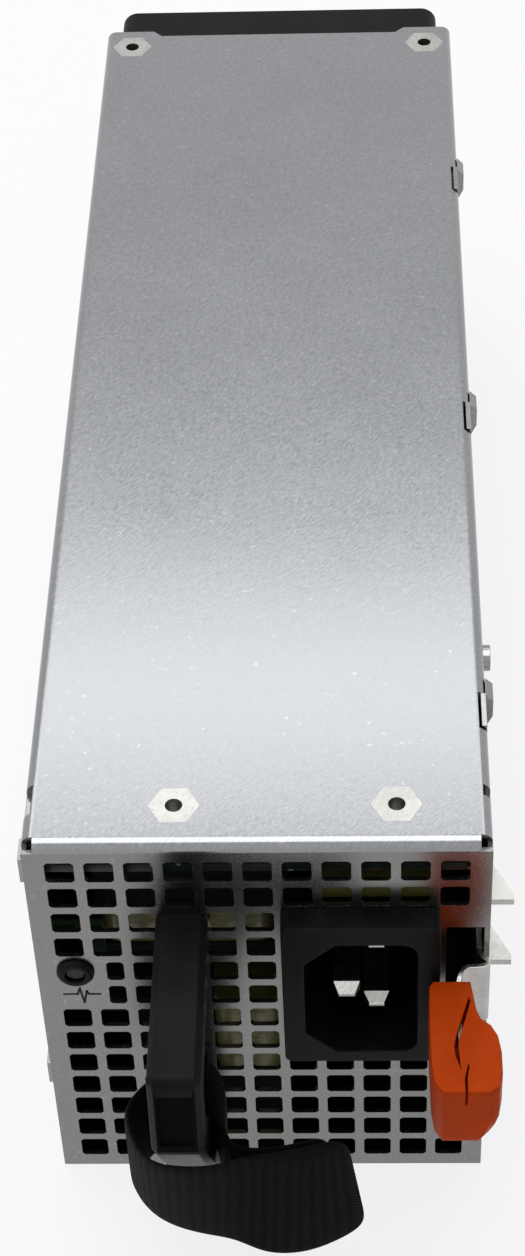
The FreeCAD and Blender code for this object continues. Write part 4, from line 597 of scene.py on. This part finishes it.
class PSU_OT_case(Dresser):
    """Finish the sheet-metal case, its clinched nuts and its rear bracket"""

    bl_idname = "psu.case"
    bl_label = "Case"

    def execute(self, context):
        steel = self.steel
        roof = sheet_steel("roof_steel", steel.roof_tone, steel.roughness, steel.grain)
        # The face finish is the roof's zinc sheet with a darker tone as painted shade, a little rougher and
        # with less grain.
        face = sheet_steel("face_steel_painted_shade", steel.shaded_face_tone, steel.roughness + 0.04, steel.grain * 0.7)
        nuts = bright_metal("nut_steel", steel.bright_tone, 0.3)
        softened("top_panel", "roof", "case", roof, steel.edge_rounding)
        softened("front_grille", "face", "case", face, steel.edge_rounding)
        softened("wrap_cover", "walls_and_floor", "case", roof, steel.edge_rounding)
        softened("rear_bracket", "rear_foot", "case", face, steel.edge_rounding)
        for node in ("board_standoffs", "rear_nuts", "board_screws", "handle_screws", "latch_rivets"):
            dressed(node, nuts)
        return {"FINISHED"}


class PSU_OT_inlet(Dresser):
    """Finish the cord inlet and its three blades"""

    bl_idname = "psu.inlet"
    bl_label = "Cord inlet"

    TAPER = 1.7 * MM
    TIP_HEIGHT = 0.35 * MM
    NARROWING = (0.6, 1, 0.32)
    EARTH_LEAD = 2.6 * MM
    END_REACH = 0.2 * MM
    TIP_REACH = 0.5 * MM
    BLADE_ROUNDING = 0.12 * MM

    def execute(self, context):
        plastic = self.plastic
        black = moulded("inlet_black", plastic.black, plastic.roughness, 0.7)
        plated = bright_metal("blade_nickel", self.steel.bright_tone, 0.24)
        softened("inlet_housing", "inlet", "case", black, plastic.edge_rounding, MOULDED_SEGMENTS)
        for pole, lead in (("line", 0), ("neutral", 0), ("earth", self.EARTH_LEAD)):
            node = f"{pole}_blade"
            softened(node, f"{pole}_pin", "case", plated, self.BLADE_ROUNDING, shape=self.tapered(node, lead))
        return {"FINISHED"}

    def tapered(self, node, lead):
        """A blade that reaches out by the lead, and whose tip narrows and slopes on its upper side."""
        shape = merged(node)
        low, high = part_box(node)
        end = [vertex for vertex in shape.verts if vertex.co.y < low.y + self.END_REACH]
        bmesh.ops.translate(shape, verts=end, vec=(0, -lead, 0))
        middle = Vector(((low.x + high.x) / 2, low.y - lead, low.z + self.TIP_HEIGHT))
        start = middle + Vector((0, self.TAPER, 0))
        bmesh.ops.bisect_plane(shape, geom=shape.verts[:] + shape.edges[:] + shape.faces[:],
                               plane_co=start, plane_no=(0, 1, 0))
        tip = [vertex for vertex in shape.verts if vertex.co.y < start.y - self.TIP_REACH]
        bmesh.ops.scale(shape, verts=tip, vec=self.NARROWING, space=Matrix.Translation(-middle))
        return shape


class PSU_OT_lamp(Dresser):
    """Finish the round status lamp and paint the pulse line below it"""

    bl_idname = "psu.lamp"
    bl_label = "Status lamp"

    RING_ROUNDING = 0.2 * MM
    MARK_THICKNESS = 0.03
    MARK_HALF_WIDTH = 0.17 * MM
    # The pulse line's corners, as across and height.
    PULSE = ((-29.6, 44.2), (-27.6, 44.2), (-27.2, 45.6), (-26.7, 42.2), (-26.2, 44.9), (-25.9, 44.2),
             (-24.3, 44.2))

    def execute(self, context):
        black = moulded("lamp_black", self.plastic.black, 0.35, 0.5)
        softened("lamp_bezel", "lamp_ring", "case", black, self.RING_ROUNDING)
        dressed("lamp_lens", lamp_glass("lamp_glass"))
        dressed("lamp_board", laminate("lamp_laminate", display(30, 62, 44), display(70, 104, 60)))
        self.paint_mark()
        return {"FINISHED"}

    def paint_mark(self):
        """A generic pulse line, as wide strokes laid on the face."""
        paint = moulded("mark_paint", display(52, 53, 55), 0.6, 0.3)
        shape = bmesh.new()
        for (left, low), (right, high) in zip(self.PULSE, self.PULSE[1:]):
            start = at(left, -self.MARK_THICKNESS, low)
            end = at(right, -self.MARK_THICKNESS, high)
            heading = (end - start).normalized()
            side = heading.cross(Vector((0, 1, 0))) * self.MARK_HALF_WIDTH
            over = heading * self.MARK_HALF_WIDTH
            shape.faces.new([shape.verts.new(place) for place in (
                start - side - over, end - side + over, end + side + over, start + side - over)])
        bmesh.ops.recalc_face_normals(shape, faces=shape.faces)
        bmesh.ops.solidify(shape, geom=shape.faces, thickness=self.MARK_THICKNESS * MM * 0.5)
        planted(shape, "pulse_mark", "case", paint)


class PSU_OT_handle(Dresser):
    """Finish the pull handle"""

    bl_idname = "psu.handle"
    bl_label = "Pull handle"

    FOOT_HEIGHT = 2.4 * MM
    FOOT_DROP = 6.0 * MM
    EDGE_ROUNDING = 0.4 * MM
    # The recessed panel in the front, given a darker, rougher black whose darker tone is painted shade: its
    # margin at the sides, its height and how deep it may lie.
    PANEL_MARGIN = 1.3 * MM
    PANEL_MIDDLE = 54.4 * MM
    PANEL_HALF_HEIGHT = 5.2 * MM
    PANEL_DEPTH = 3 * MM

    def execute(self, context):
        plastic = self.plastic
        black = moulded("handle_black", lighter(plastic.black, 0.004), 0.38, 0.8, 0.04)
        # The panel's black is darker than the handle's own, as painted shade in the front recess.
        shaded_panel_black = moulded("handle_panel_painted_shade", darker(plastic.black, 0.45), 0.6, 1.4, 0.02)
        shape = merged("handle")
        low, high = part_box("handle")
        foot = [vertex for vertex in shape.verts if vertex.co.z < low.z + self.FOOT_HEIGHT]
        bmesh.ops.translate(shape, verts=foot, vec=(0, 0, -self.FOOT_DROP))
        # Faces of the front recess take the second, darker black, which paints shade there.
        for face in shape.faces:
            centre = face.calc_center_median()
            across = low.x + self.PANEL_MARGIN < centre.x < high.x - self.PANEL_MARGIN
            upright = abs(centre.z - self.PANEL_MIDDLE) < self.PANEL_HALF_HEIGHT
            if across and upright and centre.y < low.y + self.PANEL_DEPTH:
                face.material_index = 1
        piece = softened("handle", "pull_handle", "case", black, self.EDGE_ROUNDING, MOULDED_SEGMENTS, shape)
        piece.data.materials.append(shaded_panel_black)
        return {"FINISHED"}


class PSU_OT_strap(Dresser):
    """Model the webbing strap that loops round the handle and ends in a doubled tail"""

    bl_idname = "psu.strap"
    bl_label = "Cord strap"

    # Each station is the low and the high point of the band: across, depth from the face, height.
    STATIONS = (
        ((12.6, -26.4, 24.6), (9.6, -24.6, 43.8)),
        ((6.4, -28.6, 22.8), (5.0, -25.4, 42.6)),
        ((0.4, -29.6, 23.0), (0.6, -26.2, 42.6)),
        ((-4.2, -28.4, 24.0), (-4.0, -26.4, 43.2)),
        ((-5.6, -24.6, 23.4), (-5.6, -22.8, 43.4)),
        ((-5.8, -18.4, 22.6), (-5.4, -17.6, 42.8)),
        ((-6.8, -13.0, 21.4), (-6.0, -12.6, 41.6)),
        ((-8.2, -8.6, 20.8), (-8.0, -9.4, 40.8)),
        ((-11.6, -6.4, 20.8), (-11.6, -8.4, 40.4)),
        ((-15.6, -9.2, 19.4), (-15.6, -10.6, 39.0)),
        ((-18.8, -12.8, 18.8), (-18.8, -13.4, 38.2)),
        ((-20.0, -16.0, 19.4), (-19.9, -16.6, 38.8)),
        ((-19.4, -18.6, 21.0), (-19.3, -20.8, 40.6)),
        ((-17.8, -22.4, 22.6), (-17.6, -26.2, 42.2)),
        ((-15.2, -25.8, 23.8), (-15.0, -29.4, 43.6)),
        ((-11.6, -28.4, 25.2), (-11.4, -30.9, 45.0)),
        ((-7.8, -30.0, 26.2), (-7.4, -31.1, 45.2)),
        ((-4.2, -30.9, 26.6), (-4.0, -30.2, 45.4)),
        ((-1.6, -31.4, 25.0), (-1.2, -28.9, 44.8)),
        ((1.4, -31.6, 23.4), (2.6, -27.8, 44.2)),
        ((6.4, -30.8, 22.6), (7.0, -27.2, 44.6)),
        ((11.2, -29.2, 23.6), (10.4, -26.6, 45.4)),
        ((15.2, -27.8, 25.8), (12.6, -26.4, 43.8)),
    )
    WIDTH = 20.0 * MM
    STEPS = 4
    SMOOTH_LEVELS = 3

    def execute(self, context):
        strap = self.strap
        shape, length = ribbon(self.STATIONS, self.STEPS)
        cloth = webbing("strap_webbing", strap.tone, strap.rib_pitch, self.WIDTH)
        piece = planted(shape, "webbing_strap", "case", cloth)
        for polygon in piece.data.polygons:
            polygon.use_smooth = True
        thickened(piece, strap.thickness)
        smooth = piece.modifiers.new("Smooth", "SUBSURF")
        smooth.levels = smooth.render_levels = self.SMOOTH_LEVELS
        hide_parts("cable_strap")
        return {"FINISHED"}


class PSU_OT_latch(Dresser):
    """Finish the spring strip and its release grip"""

    bl_idname = "psu.latch"
    bl_label = "Release latch"

    STRIP_ROUNDING = 0.14 * MM
    STRIP_ANGLE = 50
    STRIP_THICKNESS = 0.8 * MM
    STRIP_MIDDLE = 47.0
    # The strip's way round the face and into the grip: across, depth and half its height.
    JOG = (
        (31.8, 1.0, 6.5), (31.85, 0.2, 6.5), (32.1, -0.4, 6.5), (32.6, -0.9, 6.5), (32.95, -1.35, 6.5),
        (32.9, -1.85, 6.5), (32.4, -2.2, 6.5), (31.4, -2.3, 6.5), (30.2, -2.35, 6.5), (29.4, -2.55, 6.2),
        (28.9, -3.0, 5.4), (28.65, -3.7, 4.8), (28.6, -4.8, 4.8), (28.6, -23.0, 4.8),
    )
    GRIP_ROUNDING = 0.3 * MM
    GRIP_ANGLE = 40
    # The grip seen from above, as across and depth, and the place that its rings shrink about.
    PLAN = (
        (24.9, -4.7), (24.3, -5.6), (24.2, -12.5), (24.3, -19.6), (24.7, -22.7), (25.8, -24.4),
        (32.5, -24.4), (33.8, -23.5), (34.3, -20.8), (34.3, -17.2), (33.9, -14.4), (33.0, -12.6),
        (31.6, -11.4), (31.0, -9.8), (30.6, -6.8), (30.3, -4.7),
    )
    MIDDLE = (28.5, -14.5)
    CHIN_START = 30.0
    # Each ring of the grip: its share of the height, how far its right side is drawn in, and its size.
    LEVELS = (
        (1, 0, 0.975), (0.97, 0, 1), (0.45, 0, 1), (0.3, 0.12, 1), (0.14, 0.34, 0.995), (0.04, 0.55, 0.98),
        (0, 0.62, 0.95),
    )
    SLIT_DEPTH = 3.0
    SLIT_CLEARANCE = 1.0
    # The slits' outlines in the same terms.
    SLITS = (
        ((29.95, -7.6), (28.9, -11.3), (28.0, -14.2), (27.65, -16.1), (27.75, -18.0), (28.45, -20.3),
         (28.3, -18.0), (28.15, -16.1), (28.55, -14.2), (29.35, -11.5), (30.15, -8.4)),
        ((29.5, -19.4), (28.95, -21.8), (28.95, -25.5), (29.3, -25.5), (29.3, -21.8), (29.65, -19.7)),
    )

    def execute(self, context):
        plastic = self.plastic
        orange = moulded("grip_orange", plastic.orange, plastic.roughness + 0.04, 0.6, 0.04)
        spring = bright_metal("spring_steel", self.steel.bright_tone, 0.24)
        softened("latch_spring", "spring_strip", "latch", spring, self.STRIP_ROUNDING,
                 shape=self.rear_of_strip())
        self.bend_front(spring)
        self.mould_grip(orange)
        return {"FINISHED"}

    def rear_of_strip(self):
        """The strip behind the face, without its jog and nose."""
        shape = merged("latch_spring")
        cut = bmesh.ops.bisect_plane(
            shape, geom=shape.verts[:] + shape.edges[:] + shape.faces[:],
            plane_co=at(0, self.JOG[0][1], 0), plane_no=(0, -1, 0), clear_outer=True)["geom_cut"]
        rim = [part for part in cut if isinstance(part, bmesh.types.BMEdge)]
        bmesh.ops.contextual_create(shape, geom=rim)
        return shape

    def bend_front(self, finish):
        """The strip's thin jog round the face and its nose inside the grip."""
        stations = [[(across, depth, self.STRIP_MIDDLE + side * half) for side in (-1, 1)]
                    for across, depth, half in self.JOG]
        shape, _ = ribbon(stations, 1)
        piece = planted(shape, "spring_front", "latch", finish)
        thickened(piece, self.STRIP_THICKNESS)
        rounded(piece, self.STRIP_ROUNDING, angle=self.STRIP_ANGLE)

    def ring(self, height, chin, size):
        """The grip's outline at a height, with its right side drawn in."""
        middle = at(*self.MIDDLE, height)
        corners = [at(across - chin * max(0, across - self.CHIN_START), depth, height)
                   for across, depth in self.PLAN]
        return [middle + (corner - middle) * size for corner in corners]

    def mould_grip(self, finish):
        """The grip: an S-shaped thumb side, a chin drawn in at the right and a curved slit from above."""
        low, high = (corner.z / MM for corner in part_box("latch_grip"))
        rings = [self.ring(low + (high - low) * share, chin, size) for share, chin, size in self.LEVELS]
        piece = planted(lofted(rings), "release_grip", "latch", finish)
        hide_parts("latch_grip")
        cutters = [lofted([[at(across, depth, height) for across, depth in outline]
                           for height in (high + self.SLIT_CLEARANCE, high - self.SLIT_DEPTH)])
                   for outline in self.SLITS]
        rounded(carved(piece, cutters), self.GRIP_ROUNDING, MOULDED_SEGMENTS, self.GRIP_ANGLE)


class PSU_OT_inside(Dresser):
    """Finish the boards and the power parts that show through the grille and past the fan"""

    bl_idname = "psu.inside"
    bl_label = "Inner parts"

    TAPE_WIDTH = 3.2 * MM
    BULK_RIM = 0.6 * MM
    OUTPUT_RIM = 0.4 * MM
    FUSE_CAP = 5 * MM
    INDUCTOR_TURNS = 26

    def execute(self, context):
        # The tape and film are yellow, darkened to olive as painted shade inside the case.
        tape = taped("yellow_tape", display(142, 136, 73), self.TAPE_WIDTH)
        film = moulded("film_yellow_painted_shade", display(136, 130, 70), 0.35, 1.0)
        # The boards' green is a darker copy of the lamp board's laminate, as painted shade inside the case.
        green = laminate("board_green_painted_shade", display(12, 25, 19), display(24, 40, 28))
        ferrite = moulded("ferrite_grey", display(30, 30, 32), 0.7, 2.0)
        chip = moulded("package_black", display(18, 18, 20), 0.5, 0.8)
        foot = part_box("bulk_capacitors")[0].z
        sleeve = sleeved_can("can_sleeve", display(24, 30, 52), foot + self.BULK_RIM)
        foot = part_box("output_capacitors")[0].z
        small = sleeved_can("small_can", display(150, 152, 156), foot + self.OUTPUT_RIM)
        low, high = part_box("line_fuse")
        fuse = end_capped("fuse_ceramic", display(212, 206, 192),
                          low.y + self.FUSE_CAP, high.y - self.FUSE_CAP)
        dull = bright_metal("sink_aluminium", display(168, 170, 174), 0.45)
        tinned = bright_metal("tinned_copper", display(196, 190, 178), 0.34)
        gold = bright_metal("contact_gold", display(222, 184, 104), 0.26)
        wire = wound_wire("inductor_wire", display(176, 104, 62), self.INDUCTOR_TURNS)
        sheet = folded_sheet("insulation_film", display(58, 60, 58))
        finishes = {
            tape: ("choke_winding", "stage_choke_winding", "transformer_winding"),
            film: ("film_capacitor", "inlet_capacitor"),
            green: ("main_board", "control_board", "output_board"),
            ferrite: ("transformer_core", "choke_bobbin", "stage_choke_base"),
            chip: ("primary_transistors", "rectifiers", "control_chips", "board_spacers"),
            sleeve: ("bulk_capacitors",),
            small: ("output_capacitors",),
            fuse: ("line_fuse",),
            dull: ("primary_heat_sink", "secondary_heat_sink"),
            tinned: ("bus_bars",),
            gold: ("contact_fingers",),
            wire: ("output_inductor",),
            sheet: ("insulation_sheet",),
        }
        for finish, nodes in finishes.items():
            for node in nodes:
                dressed(node, finish)
        return {"FINISHED"}


class PSU_OT_fan(Dresser):
    """Finish the fan at the rear"""

    bl_idname = "psu.fan"
    bl_label = "Fan"

    HOUSING_ROUNDING = 0.3 * MM

    def execute(self, context):
        plastic = self.plastic
        housing = moulded("fan_black", plastic.black, 0.5, 1.0)
        wheel = moulded("wheel_black", lighter(plastic.black, 0.01), 0.38, 0.6)
        bright = bright_metal("shaft_steel", self.steel.bright_tone, 0.2)
        bronze = bright_metal("bearing_bronze", display(170, 132, 84), 0.3)
        softened("fan_frame", "fan_housing", "case", housing, self.HOUSING_ROUNDING)
        dressed("fan_rotor", wheel)
        dressed("fan_shaft", bright)
        dressed("fan_bearing", bronze)
        return {"FINISHED"}


# ---------------------------------------------------------------- stage

class PSU_OT_stage(Dresser):
    """Lay the pale floor, hang the soft lights and set the camera"""

    bl_idname = "psu.stage"
    bl_label = "Stage and camera"

    FLOOR_GLOW = 0.8
    WORLD_LIGHT = 0.25
    SENSOR_WIDTH = 36
    # Each light: its name, place, aim, width, length and power.
    LIGHTS = (
        ("overhead", (-0.25, 0.05, 1.5), (0, 0, 0), 1.5, 1.5, 20.0),
        ("band", (0.0, 0.745, 0.93), (0, -0.08, 0.078), 1.3, 0.11, 1.6),
        ("front_fill", (-0.9, -1.3, 0.7), (0, -0.1, 0.03), 1.2, 0.9, 0.7),
    )

    def execute(self, context):
        stage = context.scene.psu_stage
        self.lay_floor(stage)
        self.light_world(context.scene)
        for name, place, aim, width, length, power in self.LIGHTS:
            self.hang(name, Vector(place), Vector(aim), width, length, power)
        self.set_camera(stage)
        context.scene.view_settings.view_transform = "Standard"
        return {"FINISHED"}

    def lay_floor(self, stage):
        shape = bmesh.new()
        bmesh.ops.create_grid(shape, x_segments=2, y_segments=2, size=stage.floor_size / 2)
        floor = meshed("floor", shape)
        finish = Finish("floor_paper", stage.floor_tone, 0.9)
        fibre = finish.noise(finish.coords, 90, 3)
        finish.give("Base Color", finish.blend(fibre, stage.floor_tone, lighter(stage.floor_tone, 0.1)))
        glow = finish.node("ShaderNodeEmission", {}, {"Color": (1, 1, 1), "Strength": 1.0})
        surface = Flow(finish, finish.shader.outputs["BSDF"])
        mixed = finish.node("ShaderNodeMixShader", {}, {
            0: finish.seen_straight() * self.FLOOR_GLOW, 1: surface, 2: glow})
        finish.feed(finish.tree.nodes["Material Output"].inputs["Surface"], mixed)
        floor.data.materials.append(finish.material)

    def light_world(self, scene):
        """A white backdrop that lights the object less than it shows."""
        scene.world = bpy.data.worlds.new("studio")
        graph = Graph(scene.world)
        level = graph.node("ShaderNodeMapRange", {}, {
            "Value": graph.seen_straight(), "To Min": self.WORLD_LIGHT, "To Max": 1.0})
        background = graph.tree.nodes["Background"]
        graph.feed(background.inputs["Strength"], level)
        graph.feed(background.inputs["Color"], (1, 1, 1))

    def hang(self, name, place, aim, width, length, power):
        lamp = bpy.data.lights.new(name, "AREA")
        lamp.shape = "RECTANGLE"
        lamp.size = width
        lamp.size_y = length
        lamp.energy = power
        holder = linked(name, lamp)
        holder.location = place
        holder.rotation_euler = (aim - place).to_track_quat("-Z", "Y").to_euler()

    def set_camera(self, stage):
        camera = bpy.data.cameras.new("camera")
        camera.lens = stage.lens
        camera.sensor_width = self.SENSOR_WIDTH
        holder = linked("camera", camera)
        holder.location = stage.camera_place
        holder.rotation_euler = stage.camera_turn
        bpy.context.scene.camera = holder


# ---------------------------------------------------------------- add-on

OPERATORS = (
    PSU_OT_case, PSU_OT_inlet, PSU_OT_lamp, PSU_OT_handle, PSU_OT_strap,
    PSU_OT_latch, PSU_OT_inside, PSU_OT_fan, PSU_OT_stage,
)


class PSU_PT_panel(bpy.types.Panel):
    """Lists the steps that finish the power supply"""

    bl_idname = "PSU_PT_panel"
    bl_label = "Power supply"
    bl_space_type = "VIEW_3D"
    bl_region_type = "UI"
    bl_category = "Power supply"

    def draw(self, context):
        for operator in OPERATORS:
            self.layout.operator(operator.bl_idname)


CLASSES = (*SETTINGS.values(), *OPERATORS, PSU_PT_panel)


def register():
    for each in CLASSES:
        bpy.utils.register_class(each)
    for name, settings in SETTINGS.items():
        setattr(bpy.types.Scene, name, PointerProperty(type=settings))


def unregister():
    for name in SETTINGS:
        delattr(bpy.types.Scene, name)
    for each in reversed(CLASSES):
        bpy.utils.unregister_class(each)


def main():
    register()
    for operator in OPERATORS:
        family, step = operator.bl_idname.split(".")
        getattr(getattr(bpy.ops, family), step)()


if __name__ == "__main__":
    main()
